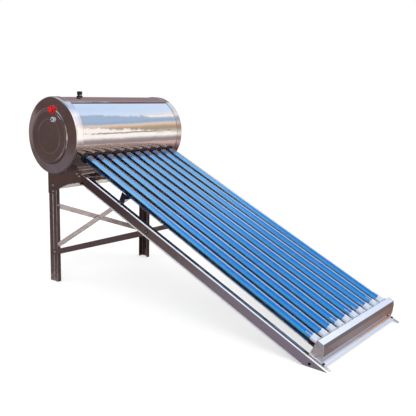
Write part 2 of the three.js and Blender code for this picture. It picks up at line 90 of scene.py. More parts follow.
def tube_x(i):
    return (i - (TUBES - 1) / 2) * PITCH


def tube_at(i):
    return Vector((tube_x(i), 0, 0)) + TANK - TUBE_UP * DROP


def slope_yz(along, square):
    """A point along and square to the tubes, from the tank's axis, as (y, z)."""
    point = TANK + TUBE_DOWN * along + TUBE_UP * square
    return (point.y, point.z)


def end_point(place):
    """The point of the tank's middle plane in line with a place on its ends."""
    return Vector((0, place[0], TANK_Z + place[1]))


# ------------------------------------------------------------------ outlines
def fillet(points, radii, steps=4, closed=False):
    """Rounds the corners of a 2-D polyline. radii is one radius or one per point."""
    points = [Vector(p) for p in points]
    count = len(points)
    if not isinstance(radii, (list, tuple)):
        radii = [radii] * count
    out = []
    for i, corner in enumerate(points):
        if (not closed and i in (0, count - 1)) or radii[i] <= 0:
            out.append(corner.copy())
            continue
        before, after = points[i - 1] - corner, points[(i + 1) % count] - corner
        length_before, length_after = before.length, after.length
        before, after = before / length_before, after / length_after
        angle = math.acos(max(-1, min(1, before.dot(after))))
        if angle > math.pi - 0.02 or angle < 0.02:
            out.append(corner.copy())
            continue
        tangent = min(radii[i] / math.tan(angle / 2), 0.48 * length_before, 0.48 * length_after)
        radius = tangent * math.tan(angle / 2)
        centre = corner + (before + after).normalized() * (radius / math.sin(angle / 2))
        first = corner + before * tangent - centre
        last = corner + after * tangent - centre
        start = math.atan2(first.y, first.x)
        turn = (math.atan2(last.y, last.x) - start + math.pi) % (2 * math.pi) - math.pi
        for k in range(steps + 1):
            q = start + turn * k / steps
            out.append(centre + Vector((math.cos(q), math.sin(q))) * radius)
    return out


def offset(line, distance):
    """Moves an open polyline to its left, with mitred corners."""
    out = []
    for i, point in enumerate(line):
        before = line[i] - line[i - 1] if i > 0 else line[1] - line[0]
        after = line[i + 1] - line[i] if i < len(line) - 1 else line[-1] - line[-2]
        if before.length < 1e-9:
            before = after
        if after.length < 1e-9:
            after = before
        before, after = before.normalized(), after.normalized()
        normal = Vector((-before.y, before.x))
        mitre = normal + Vector((-after.y, after.x))
        mitre = mitre.normalized() if mitre.length > 1e-6 else normal
        out.append(point + mitre * (distance / max(0.35, mitre.dot(normal))))
    return out


def sheet(points, radii, steps=4, thickness=SHEET):
    """Closed outline of folded sheet, from its centreline."""
    line = fillet(points, radii, steps)
    return offset(line, thickness / 2) + list(reversed(offset(line, -thickness / 2)))


# ------------------------------------------------------------------ solids
def upright(u, v, w):
    return Vector((u, v, w))


def along_x(u, v, w):
    return Vector((w, u, v))


def prism(outline, place, start, end, steps=1):
    """Runs a closed 2-D outline from start to end. place(u, v, w) gives the 3-D point."""
    bm = bmesh.new()
    rings = []
    for k in range(steps + 1):
        w = start + (end - start) * k / steps
        rings.append([bm.verts.new(place(p[0], p[1], w)) for p in outline])
    count = len(outline)
    for low, high in zip(rings, rings[1:]):
        for i in range(count):
            j = (i + 1) % count
            bm.faces.new((low[i], low[j], high[j], high[i]))
    bm.faces.new(list(reversed(rings[0])))
    bm.faces.new(rings[-1])
    bmesh.ops.recalc_face_normals(bm, faces=bm.faces)
    return bm


def lathe(profile, sides, origin, axis, start=None, loop=False, radius_at=None):
    """Turns a profile of (radius, position) about an axis. A radius of 0 is a pole.

    start is the direction of the first corner; loop joins the profile's ends;
    radius_at(radius, position, angle) changes the radius around the turn.
    """
    bm = bmesh.new()
    axis = axis.normalized()
    if start is None:
        start = X_DIR if abs(axis.x) < 0.9 else Y_DIR
    across = (start - axis * start.dot(axis)).normalized()
    other = axis.cross(across)
    rings = []
    for radius, position in profile:
        if radius < 1e-6:
            rings.append([bm.verts.new(origin + axis * position)])
            continue
        ring = []
        for k in range(sides):
            q = 2 * math.pi * k / sides
            r = radius_at(radius, position, q) if radius_at else radius
            ring.append(bm.verts.new(origin + axis * position
                                     + across * (r * math.cos(q)) + other * (r * math.sin(q))))
        rings.append(ring)
    pairs = list(zip(rings, rings[1:]))
    if loop:
        pairs.append((rings[-1], rings[0]))
    for first, second in pairs:
        if len(first) == 1 and len(second) == 1:
            continue
        for k in range(sides):
            j = (k + 1) % sides
            if len(first) == 1:
                bm.faces.new((first[0], second[j], second[k]))
            elif len(second) == 1:
                bm.faces.new((first[k], first[j], second[0]))
            else:
                bm.faces.new((first[k], first[j], second[j], second[k]))
    bmesh.ops.recalc_face_normals(bm, faces=bm.faces)
    return bm


def block(x, y, z):
    """A box from three (low, high) spans."""
    corners = [(x[0], y[0]), (x[1], y[0]), (x[1], y[1]), (x[0], y[1])]
    return prism(corners, upright, *z)


def rod(radius, origin, axis, start, end, sides=32):
    return lathe([(0, start), (radius, start), (radius, end), (0, end)], sides, origin, axis)


def tube_rods(radius, start, end, sides):
    return [rod(radius, tube_at(i), TUBE_DOWN, start, end, sides) for i in range(TUBES)]


def joined(*solids):
    out = bmesh.new()
    for bm in solids:
        mesh = bpy.data.meshes.new("part")
        bm.to_mesh(mesh)
        out.from_mesh(mesh)
        bpy.data.meshes.remove(mesh)
        bm.free()
    return out


def link_object(name, data):
    obj = bpy.data.objects.new(name, data)
    bpy.context.scene.collection.objects.link(obj)
    return obj


def object_from(bm, name):
    mesh = bpy.data.meshes.new(name)
    bm.to_mesh(mesh)
    bm.free()
    return link_object(name, mesh)


def apply_modifiers(obj):
    bpy.context.view_layer.update()
    graph = bpy.context.evaluated_depsgraph_get()
    mesh = bpy.data.meshes.new_from_object(obj.evaluated_get(graph))
    old = obj.data
    obj.modifiers.clear()
    obj.data = mesh
    bpy.data.meshes.remove(old)


def boolean(body, *tools, op="DIFFERENCE"):
    """Applies each tool to the body in turn; all are bmeshes."""
    for tool in tools:
        body_obj, tool_obj = object_from(body, "body"), object_from(tool, "tool")
        modifier = body_obj.modifiers.new("boolean", "BOOLEAN")
        modifier.operation, modifier.object, modifier.solver = op, tool_obj, "EXACT"
        apply_modifiers(body_obj)
        body = bmesh.new()
        body.from_mesh(body_obj.data)
        for obj in (body_obj, tool_obj):
            mesh = obj.data
            bpy.data.objects.remove(obj)
            bpy.data.meshes.remove(mesh)
        bmesh.ops.remove_doubles(body, verts=body.verts, dist=1e-4)
    return body


def mirrored(bm):
    for v in bm.verts:
        v.co.x = -v.co.x
    bmesh.ops.reverse_faces(bm, faces=bm.faces)
    return bm


# ------------------------------------------------------------------ pieces
def register(obj, body, replaces):
    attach(obj, body)
    if replaces:
        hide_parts(replaces)


def piece(name, bm, material, slot, sharp, replaces=None, body=ROOT,
          bevel=0.0, bevel_steps=2, weighted=False):
    """Makes an object from a bmesh in millimetres and lets it ride on its body.

    sharp is the angle in degrees above which an edge shades sharp. Bevelled pieces always
    get weighted normals.
    """
    for v in bm.verts:
        v.co = Vector((v.co.x / 1000, v.co.y / 1000 + TANK_Y, v.co.z / 1000))
    bm.normal_update()
    obj = object_from(bm, name)
    if bevel:
        modifier = obj.modifiers.new("bevel", "BEVEL")
        modifier.width, modifier.segments = bevel / 1000, bevel_steps
        modifier.limit_method, modifier.angle_limit = "ANGLE", math.radians(40)
        modifier.use_clamp_overlap = True
        apply_modifiers(obj)
    obj.data.materials.append(material)
    obj.data.polygons.foreach_set("use_smooth", [True] * len(obj.data.polygons))
    obj.data.set_sharp_from_angle(angle=math.radians(sharp))
    if bevel or weighted:
        modifier = obj.modifiers.new("normals", "WEIGHTED_NORMAL")
        modifier.mode, modifier.weight, modifier.keep_sharp = "FACE_AREA", 50, True
        apply_modifiers(obj)
    obj.data.name = name
    register(obj, body, replaces)
    return obj


def both_sides(name, cad_name, build, material, right_material=None, **finish):
    """Makes a left piece and its mirror image."""
    piece("left_" + name, build(), material, replaces="left_" + cad_name, **finish)
    piece("right_" + name, mirrored(build()), right_material or material,
          replaces="right_" + cad_name, **finish)


def repeat_at_tube(source, i, name, body=ROOT, replaces=None):
    """Another object with the first tube's mesh, moved to tube i."""
    obj = link_object(name, source.data)
    obj.location = Vector((i * PITCH, 0, 0)) / 1000
    register(obj, body, replaces)


# ------------------------------------------------------------------ shader tools
FRONT, LEFT = (0, -1, 0), (-1, 0, 0)


def srgb(*channels):
    """Linear colour from 0-255 channels."""
    def linear(value):
        value = value / 255
        return value / 12.92 if value <= 0.04045 else ((value + 0.055) / 1.055) ** 2.4
    return tuple(linear(c) for c in channels)


def darker(colour, amount):
    return tuple(x * (1 - amount) for x in colour)


class Shader:
    """Adds nodes to a tree. Inputs given as sockets are linked; other inputs are set."""

    def __init__(self, tree):
        self.nodes, self.links = tree.nodes, tree.links

    def feed(self, node, inputs):
        for key, value in inputs.items():
            if isinstance(value, bpy.types.NodeSocket):
                self.links.new(value, node.inputs[key])
            else:
                node.inputs[key].default_value = value

    def add(self, kind, inputs=None, **settings):
        node = self.nodes.new("ShaderNode" + kind)
        for key, value in settings.items():
            setattr(node, key, value)
        self.feed(node, inputs or {})
        return node

    def surface(self, inputs):
        """Ends a material in a Principled surface."""
        self.add("OutputMaterial", {0: self.add("BsdfPrincipled", inputs).outputs[0]})

    def coords(self, kind="Object"):
        return self.add("TexCoord").outputs[kind]

    def split(self, vector):
        return self.add("SeparateXYZ", {0: vector}).outputs

    def position(self):
        """x, y, z in metres."""
        return self.split(self.coords())

    def normal(self):
        return self.add("NewGeometry").outputs["Normal"]

    def noise(self, vector, scale, detail=4.0, rough=0.55, stretch=None):
        if stretch:
            vector = self.add("Mapping", {"Vector": vector, "Scale": stretch}).outputs[0]
        return self.add("TexNoise", {"Vector": vector, "Scale": scale, "Detail": detail,
                                     "Roughness": rough}).outputs["Fac"]

    def remap(self, value, span, to=(0, 1), smooth=False):
        """Maps the span of a value onto another span, clamped at both ends."""
        kind = "SMOOTHSTEP" if smooth else "LINEAR"
        inputs = dict(enumerate((value, *span, *to)))
        return self.add("MapRange", inputs, interpolation_type=kind).outputs[0]

    def window(self, value, rise, fall):
        """1 between the rise and the fall, 0 outside them."""
        return self.times(self.remap(value, rise, smooth=True),
                          self.remap(value, fall, to=(1, 0), smooth=True))

    def mix(self, factor, first, second):
        """Mixes colours, given as sockets or as (r, g, b)."""
        first, second = ((*c, 1) if isinstance(c, tuple) else c for c in (first, second))
        return self.add("Mix", {0: factor, 6: first, 7: second}, data_type="RGBA").outputs[2]

    def mix_value(self, factor, first, second):
        return self.add("Mix", {0: factor, 2: first, 3: second}, data_type="FLOAT").outputs[0]

    def maths(self, operation, *values, clamp=False):
        inputs = dict(enumerate(values))
        return self.add("Math", inputs, operation=operation, use_clamp=clamp).outputs[0]

    def times(self, first, *others, clamp=False):
        for other in others:
            first = self.maths("MULTIPLY", first, other, clamp=clamp)
        return first

    def dot(self, vector, way):
        return self.add("VectorMath", {0: vector, 1: way},
                        operation="DOT_PRODUCT").outputs["Value"]

    def facing(self, way, span):
        """Rises over the span of the cosine between the surface's normal and a direction."""
        return self.remap(self.dot(self.normal(), way), span, smooth=True)

    def ramp(self, factor, stops):
        """Colour ramp from (position, (r, g, b)) stops."""
        node = self.add("ValToRGB", {0: factor})
        elements = node.color_ramp.elements
        while len(elements) < len(stops):
            elements.new(0.5)
        for element, (position, colour) in zip(elements, stops):
            element.position, element.color = position, (*colour, 1)
        return node.outputs[0]

    def bump(self, height, distance, normal=None):
        inputs = {"Height": height, "Distance": distance}
        if normal:
            inputs["Normal"] = normal
        return self.add("Bump", inputs).outputs[0]

    def along(self, way, y, z):
        """Distance in metres from the tank's axis along a direction square to x."""
        return self.maths("ADD", self.maths("MULTIPLY_ADD", y, way.y, -TANK_Y * way.y),
                          self.maths("MULTIPLY_ADD", z, way.z, -TANK_Z / 1000 * way.z))

    def radius(self, y, z, centre=(0, 0)):
        """Distance in metres from a line along x; centre is in mm from the tank's axis."""
        dy = self.maths("SUBTRACT", y, TANK_Y + centre[0] / 1000)
        dz = self.maths("SUBTRACT", z, TANK_Z / 1000 + centre[1] / 1000)
        return self.maths("SQRT", self.maths("ADD", self.times(dy, dy), self.times(dz, dz)))


def new_material(name):
    material = bpy.data.materials.new(name)
    material.use_nodes = True
    material.node_tree.nodes.clear()
    return material, Shader(material.node_tree)


# ------------------------------------------------------------------ steels and plastics
def steel(name, colour, rough=0.12, wave=0.004, wave_scale=9.0, mottle=0.12, dirt=0.25,
          tint=None, metal=1.0, colour_layer=None):
    """Stainless sheet with slow waves, mottling, fine scratches and dust low down.

    tint colours broad patches. The facing layer, the last argument, is (direction, cosine span,
    colour, metallic): light and shade painted on the faces turned that way.
    """
    material, tree = new_material(name)
    place = tree.coords()
    mottling = tree.noise(place, scale=38.0, detail=5, rough=0.6)
    scratches = tree.noise(place, scale=1.0, detail=2, rough=0.5, stretch=(9.0, 900.0, 900.0))
    base = tree.mix(tree.remap(mottling, (0.35, 0.7)), colour, darker(colour, mottle))
    if tint:
        patches = tree.noise(place, scale=5.0, detail=3)
        base = tree.mix(tree.remap(patches, (0.42, 0.68), to=(0, 0.75), smooth=True), base, tint)
    low = tree.remap(tree.split(place)[2], (0.0, 0.16), to=(1, 0), smooth=True)
    dust = tree.times(low, tree.remap(mottling, (0.42, 0.66), to=(0.05, 1)), clamp=True)
    dust = tree.times(dust, dirt)
    base = tree.mix(dust, base, srgb(150, 140, 128))
    metallic = tree.times(tree.remap(dust, (0, 1), to=(1, 0.2)), metal)
    # Light and shade painted on the faces turned one way
    if colour_layer:
        way, span, facing_light_colour, facing_light_metallic = colour_layer
        facing_light = tree.times(tree.facing(way, span),
                          tree.remap(mottling, (0.3, 0.7), to=(1.0, 0.88)), clamp=True)
        base = tree.mix(facing_light, base, facing_light_colour)
        metallic = tree.mix_value(facing_light, metallic, facing_light_metallic)
    roughness = tree.maths(
        "ADD", tree.remap(mottling, (0.3, 0.75), to=(rough * 0.75, rough * 1.5)),
        tree.remap(scratches, (0.55, 0.8), to=(0, rough * 0.7)))
    waves = tree.noise(place, scale=wave_scale, detail=2, rough=0.4)
    relief = tree.bump(waves, distance=wave)
    relief = tree.bump(mottling, distance=wave * 0.05, normal=relief)
    relief = tree.bump(scratches, distance=0.00002, normal=relief)
    tree.surface({"Base Color": base, "Metallic": metallic, "Normal": relief,
                  "Roughness": tree.maths("ADD", roughness, tree.times(dust, 0.5))})
    return material


def plastic(name, colour, rough=0.4, dust=0.15, dust_and_sheen_colour=srgb(150, 142, 132), mottle=0.2):
    """Fine-grained plastic or rubber with dust on the faces that look up; laid on thickly, the same
    pale layer is a painted highlight.
    """
    material, tree = new_material(name)
    place = tree.coords()
    mottling = tree.noise(place, scale=60.0)
    grain = tree.noise(place, scale=700.0, detail=3, rough=0.6)
    base = tree.mix(tree.remap(mottling, (0.35, 0.7)), colour, darker(colour, mottle))
    dust_and_sheen = tree.times(tree.remap(tree.split(tree.normal())[2], (0.2, 1.0)),
                         tree.remap(mottling, (0.4, 0.65), to=(0, dust)))
    tree.surface({
        "Base Color": tree.mix(dust_and_sheen, base, dust_and_sheen_colour),
        "Roughness": tree.remap(mottling, (0.3, 0.7), to=(rough * 0.85, rough * 1.2)),
        "Normal": tree.bump(grain, distance=0.00008)})
    return material


SHELL_STEEL = steel("tank_mirror_steel", (0.97, 0.97, 0.98), rough=0.036, wave=0.0023,
                    wave_scale=7.0, mottle=0.03, dirt=0.0)
CAP_STEEL = steel("end_cap_steel", (0.90, 0.86, 0.85), rough=0.10, wave_scale=6.0,
                  mottle=0.10, dirt=0.0, tint=(0.74, 0.69, 0.68))
# The leg steel's faces turned to the front are painted dark, as shade
LEG_STEEL = steel("leg_steel", (0.72, 0.66, 0.66), rough=0.14, wave=0.003, wave_scale=8.0,
                  mottle=0.15, tint=(0.56, 0.49, 0.49),
                  colour_layer=(FRONT, (0.75, 0.97), (0.15, 0.125, 0.12), 1.0))
SADDLE_STEEL = steel("saddle_steel", (0.72, 0.64, 0.61), rough=0.16, wave_scale=10.0,
                     mottle=0.18, tint=(0.55, 0.48, 0.46))
RAIL_STEEL = steel("rail_steel", (0.92, 0.89, 0.89), rough=0.11, wave=0.002, mottle=0.10)
BRACE = dict(colour=(0.92, 0.86, 0.83), rough=0.15, wave=0.003, wave_scale=12.0, metal=0.86)
RISING_STEEL = steel("brace_steel", **BRACE)
# The tail steel's faces turned up the tubes are painted pale blue, a painted reflection of the sky
TAIL_STEEL = steel("tail_steel", (0.97, 0.96, 0.98), rough=0.10, wave=0.0007, wave_scale=11.0,
                   mottle=0.04, dirt=0.08, tint=(0.99, 0.92, 0.88),
                   colour_layer=(TUBE_UP, (0.80, 0.97), (0.66, 0.73, 0.90), 0.25))
BOLT_STEEL = steel("bolt_steel", (0.93, 0.93, 0.94), rough=0.18, wave=0.0, mottle=0.2, dirt=0.3)
CLIP_STEEL = steel("clip_steel", (1.0, 0.86, 0.80), rough=0.24, wave=0.0, mottle=0.1, dirt=0.0)
BLACK_BOLT = steel("black_oxide_bolt", (0.05, 0.05, 0.06), rough=0.3, wave=0.0, mottle=0.3,
                   dirt=0.05)
REST_STEEL = steel("rest_steel", (0.16, 0.20, 0.30), rough=0.2, wave=0.002, mottle=0.2,
                   tint=(0.07, 0.10, 0.18))
CROSS_STEEL = steel("cross_member_steel", (0.80, 0.74, 0.72), rough=0.10, mottle=0.15,
                    tint=(0.5, 0.44, 0.42))
INNER_STEEL = steel("inner_tank_steel", (0.72, 0.72, 0.71), rough=0.28, wave=0.002,
                    mottle=0.15, dirt=0.0)
THREAD_STEEL = steel("thread_steel", (0.80, 0.79, 0.78), rough=0.22, wave=0.0, mottle=0.2,
                     dirt=0.0)
PLATE_STEEL = steel("end_plate_steel", (0.97, 0.95, 0.99), rough=0.17, wave=0.007,
                    wave_scale=30.0, mottle=0.25, tint=(0.80, 0.78, 0.82), metal=0.85)
SEAL_RUBBER = plastic("seal_rubber", (0.010, 0.009, 0.009), rough=0.32, dust=0.05, mottle=0.3)
VENT_PLASTIC = plastic("vent_plastic", (0.014, 0.014, 0.016), rough=0.30, dust=0.08)
RED_PLASTIC = plastic("red_cap_plastic", srgb(214, 14, 14), rough=0.28, dust=0.06, mottle=0.25)
RED_SILICONE = plastic("red_silicone", srgb(196, 10, 12), rough=0.45, dust=0.05, mottle=0.25)
# The tail cups' pale, bluish upward faces are a painted highlight, laid on as if it were dust
CUP_PLASTIC = plastic("tail_cup_plastic", (0.018, 0.018, 0.020), rough=0.38, dust=1.6,
                      dust_and_sheen_colour=srgb(196, 200, 212))
# The right leg has a darker copy of the leg steel, as painted shade, with its front faces painted
# darker still
RIGHT_LEG_STEEL = steel("right_leg_steel", (0.46, 0.40, 0.40), rough=0.14, wave=0.003,
                        wave_scale=8.0, mottle=0.15, tint=(0.36, 0.31, 0.31),
                        colour_layer=(FRONT, (0.75, 0.97), (0.06, 0.045, 0.04), 1.0))
FALLING_STEEL = steel("falling_brace_steel", **BRACE)
PLUG_STEEL = steel("sensor_plug_steel", (0.74, 0.74, 0.86), rough=0.30, wave=0.0, mottle=0.15,
                   dirt=0.0, metal=0.45)


# ------------------------------------------------------------------ local overlays of colour, mostly painted light and shade
# Masks work in metres; a mask takes the material's Shader and gives a factor.
def overlay(material, mask, colour, metallic=None):
    """Lays a colour over a finish. colour is (r, g, b) or a function of the Shader."""
    tree = Shader(material.node_tree)
    surface = tree.nodes["Principled BSDF"]
    factor = mask(tree)
    base = surface.inputs["Base Color"].links[0].from_socket
    colour_layer = colour(tree) if callable(colour) else colour
    tree.feed(surface, {"Base Color": tree.mix(factor, base, colour_layer)})
    if metallic is not None:
        below = surface.inputs["Metallic"].links[0].from_socket
        tree.feed(surface, {"Metallic": tree.mix_value(factor, below, metallic)})


def seam_groove_shade_mask(tree):
    """Painted shade: a dark line in the groove of the shell's lapped joint, between the end caps."""
    x, y, z = tree.position()
    height = tree.maths("SUBTRACT", z, TANK_Z / 1000)
    return tree.times(tree.window(height, rise=(0.1920, 0.1938), fall=(0.1992, 0.2012)),
                      tree.facing(FRONT, (0.30, 0.42)),
                      tree.remap(tree.maths("ABSOLUTE", x), (0.404, 0.408), to=(1, 0)))


def bead_shade_mask(tree):
    """Painted shade on a ring just outside the end caps' raised bead, dimming its highlight."""
    x, y, z = tree.position()
    return tree.times(
        tree.window(tree.radius(y, z), rise=(0.154, 0.158), fall=(0.168, 0.174)),
        tree.remap(tree.maths("ABSOLUTE", x), (0.455, 0.462), to=(0, 0.62)))


def skirt_highlight_mask(tree):
    """Painted highlight on the front of the left cap's skirt, pale and streaked along the tank."""
    x = tree.position()[0]
    normal_z = tree.split(tree.normal())[2]
    streaking = tree.noise(tree.coords(), scale=1.0, detail=3, rough=0.5,
                          stretch=(160.0, 6.0, 6.0))
    return tree.times(tree.remap(x, (-0.462, -0.456)),
                      tree.remap(x, (-0.40, -0.39), to=(1, 0)),
                      tree.facing(FRONT, (0.45, 0.65)),
                      tree.window(normal_z, rise=(-0.20, 0.0), fall=(0.55, 0.78)),
                      tree.remap(streaking, (0.3, 0.65), to=(0.55, 1.0)))


def rail_edge_highlight_mask(tree):
    """Painted highlight along the outer border of the rails' top face."""
    x, y, z = tree.position()
    edge = (RAIL_OUT / 1000 - 0.0120, RAIL_OUT / 1000 - 0.0095)
    return tree.times(tree.facing(RAIL_UP, (0.75, 0.92)),
                      tree.remap(tree.maths("ABSOLUTE", x), edge),
                      tree.remap(y, (0.60, 0.56)))


def web_reflection_mask(heights, amount):
    """Mask for painted reflections on faces turned left, fading in over a span of heights."""
    def mask(tree):
        z = tree.position()[2]
        return tree.times(tree.facing(LEFT, (0.7, 0.9)),
                          tree.remap(z, heights, to=(0, amount), smooth=True))
    return mask


# Painted reflections: (place from the channel's foot to its top, colour)
CROSS_REFLECTION_STOPS = [
    (0.0, (0.9, 0.82, 0.76)), (0.06, (1.0, 0.97, 0.93)), (0.20, (1.0, 0.95, 0.90)),
    (0.25, (0.30, 0.20, 0.16)), (0.40, (0.14, 0.09, 0.08)), (0.45, (0.62, 0.46, 0.44)),
    (0.53, (0.50, 0.42, 0.55)), (0.58, (0.04, 0.03, 0.04)), (0.70, (0.06, 0.04, 0.04)),
    (0.76, (0.55, 0.42, 0.40)), (0.84, (0.10, 0.07, 0.07)), (1.0, (0.28, 0.21, 0.20))]


def cross_reflection_colour(tree):
    """Painted reflections in level bands over the cross member, with wavy borders."""
    place = tree.coords()
    z = tree.split(place)[2]
    waver = tree.noise(place, scale=1.0, detail=3, rough=0.5, stretch=(14.0, 20.0, 60.0))
    height = tree.maths("ADD", z, tree.remap(waver, (0.3, 0.7), to=(-0.005, 0.005)))
    return tree.ramp(tree.remap(height, (0.592, 0.692)), CROSS_REFLECTION_STOPS)


def tail_front_reflection_colour(tree):
    """Painted reflection on the tail stock's front: cool on the left, warm on the right."""
    return tree.ramp(tree.remap(tree.position()[0], (-0.4, 0.4)), [
        (0.0, (0.42, 0.48, 0.52)), (0.5, (0.37, 0.41, 0.44)),
        (0.75, (0.35, 0.33, 0.33)), (1.0, (0.33, 0.225, 0.167))])


def tail_fold_highlight_mask(tree):
    """Painted copper highlight: a streaky band along the tail stock's lower fold, stronger to the
    right.
    """
    x, y, z = tree.position()
    down, square = tree.along(TUBE_DOWN, y, z), tree.along(TUBE_UP, y, z)
    streak = tree.noise(tree.coords(), scale=1.0, detail=3, rough=0.6, stretch=(9.0, 2.0, 2.0))
    return tree.times(tree.window(square, rise=(-0.0802, -0.0795), fall=(-0.0745, -0.0710)),
                      tree.remap(down, (2.019, 2.022)),
                      tree.remap(down, (2.036, 2.040), to=(1, 0)),
                      tree.remap(x, (-0.35, 0.30), to=(0.15, 0.75), smooth=True),
                      tree.remap(streak, (0.30, 0.60), to=(0.6, 1), smooth=True))


def plug_centre_mask(tree):
    x, y, z = tree.position()
    return tree.remap(tree.radius(y, z, SENSOR), (0.0075, 0.0090), to=(1, 0), smooth=True)


def cap_groove_shade_mask(tree):
    """Painted shade: a dark ring at the red caps' inner edge."""
    distance = tree.maths("ABSOLUTE", tree.position()[0])
    return tree.window(distance, rise=(0.4864, 0.4870), fall=(0.4926, 0.4934))


overlay(SHELL_STEEL, seam_groove_shade_mask, (0.085, 0.058, 0.056), metallic=0.9)
overlay(CAP_STEEL, bead_shade_mask, (0.50, 0.46, 0.46))
overlay(CAP_STEEL, skirt_highlight_mask, (1.0, 0.90, 0.88), metallic=0.48)
# Painted reflections on the rails' outer webs: darker high up, pale lavender low down
overlay(RAIL_STEEL, web_reflection_mask((0.40, 0.60), 0.85), (0.40, 0.34, 0.36))
overlay(RAIL_STEEL, web_reflection_mask((0.40, 0.22), 1.0), (0.76, 0.72, 0.84), metallic=0.92)
overlay(RAIL_STEEL, rail_edge_highlight_mask, (0.96, 0.96, 0.98), metallic=0.05)
# Painted shade: the falling brace grows darker towards its right end
overlay(FALLING_STEEL, lambda tree: tree.remap(tree.position()[0], (-0.20, 0.15), smooth=True),
        (0.46, 0.40, 0.38), metallic=1.0)
# Painted reflections on the cross member; its pale foot is a matt painted highlight
overlay(CROSS_STEEL, lambda tree: tree.remap(tree.position()[2], (0.5, 0.592), to=(0, 0.93)),
        cross_reflection_colour)
overlay(CROSS_STEEL, lambda tree: tree.remap(tree.position()[2], (0.611, 0.617), to=(1, 0),
                                             smooth=True), cross_reflection_colour, metallic=0.30)
# Painted reflection on the tail stock's front faces
overlay(TAIL_STEEL, lambda tree: tree.facing(FRONT, (0.75, 0.9)), tail_front_reflection_colour)
# Painted copper highlight along the tail stock's lower fold
overlay(TAIL_STEEL, tail_fold_highlight_mask, (0.80, 0.42, 0.22), metallic=0.62)
overlay(PLUG_STEEL, plug_centre_mask, (0.13, 0.14, 0.26), metallic=0.6)
overlay(RED_PLASTIC, cap_groove_shade_mask, (0.03, 0.002, 0.002))


# ------------------------------------------------------------------ foam and tube materials
def foam_material():
    material, tree = new_material("polyurethane_foam")
    place = tree.coords()
    cells = tree.add("TexVoronoi", {"Vector": place, "Scale": 260.0}).outputs["Distance"]
    patches = tree.noise(place, scale=14.0)
    tree.surface({
        "Base Color": tree.mix(tree.remap(patches, (0.35, 0.7)),
                               srgb(232, 214, 160), srgb(205, 178, 118)),
        "Roughness": 0.95, "Normal": tree.bump(cells, distance=0.0006)})
    return material


def glass_material():
    """Borosilicate wall: clear straight on, mirror-like at a glancing angle, dusty in patches."""
    material, tree = new_material("borosilicate_glass")
    # The wall is thin: both of its faces reflect like the outer one
    backfacing = tree.add("NewGeometry").outputs["Backfacing"]
    ior = 1.16
    fresnel = tree.add("Fresnel", {"IOR": tree.remap(backfacing, (0, 1), to=(ior, 1 / ior))})
    patches = tree.noise(tree.coords(), scale=30.0)
    clear = tree.add("BsdfTransparent", {"Color": (0.975, 0.985, 0.985, 1)})
    mirror = tree.add("BsdfGlossy", {
        "Color": (1, 1, 1, 1), "Roughness": tree.remap(patches, (0.3, 0.75), to=(0.01, 0.05))})
    wall = tree.add("MixShader", {0: fresnel.outputs[0], 1: clear.outputs[0],
                                  2: mirror.outputs[0]})
    dust = tree.add("BsdfDiffuse", {"Color": (*srgb(190, 186, 180), 1)})
    dusty = tree.add("MixShader", {0: tree.remap(patches, (0.5, 0.8), to=(0.0, 0.035)),
                                   1: wall.outputs[0], 2: dust.outputs[0]})
    tree.add("OutputMaterial", {0: dusty.outputs[0]})
    return material


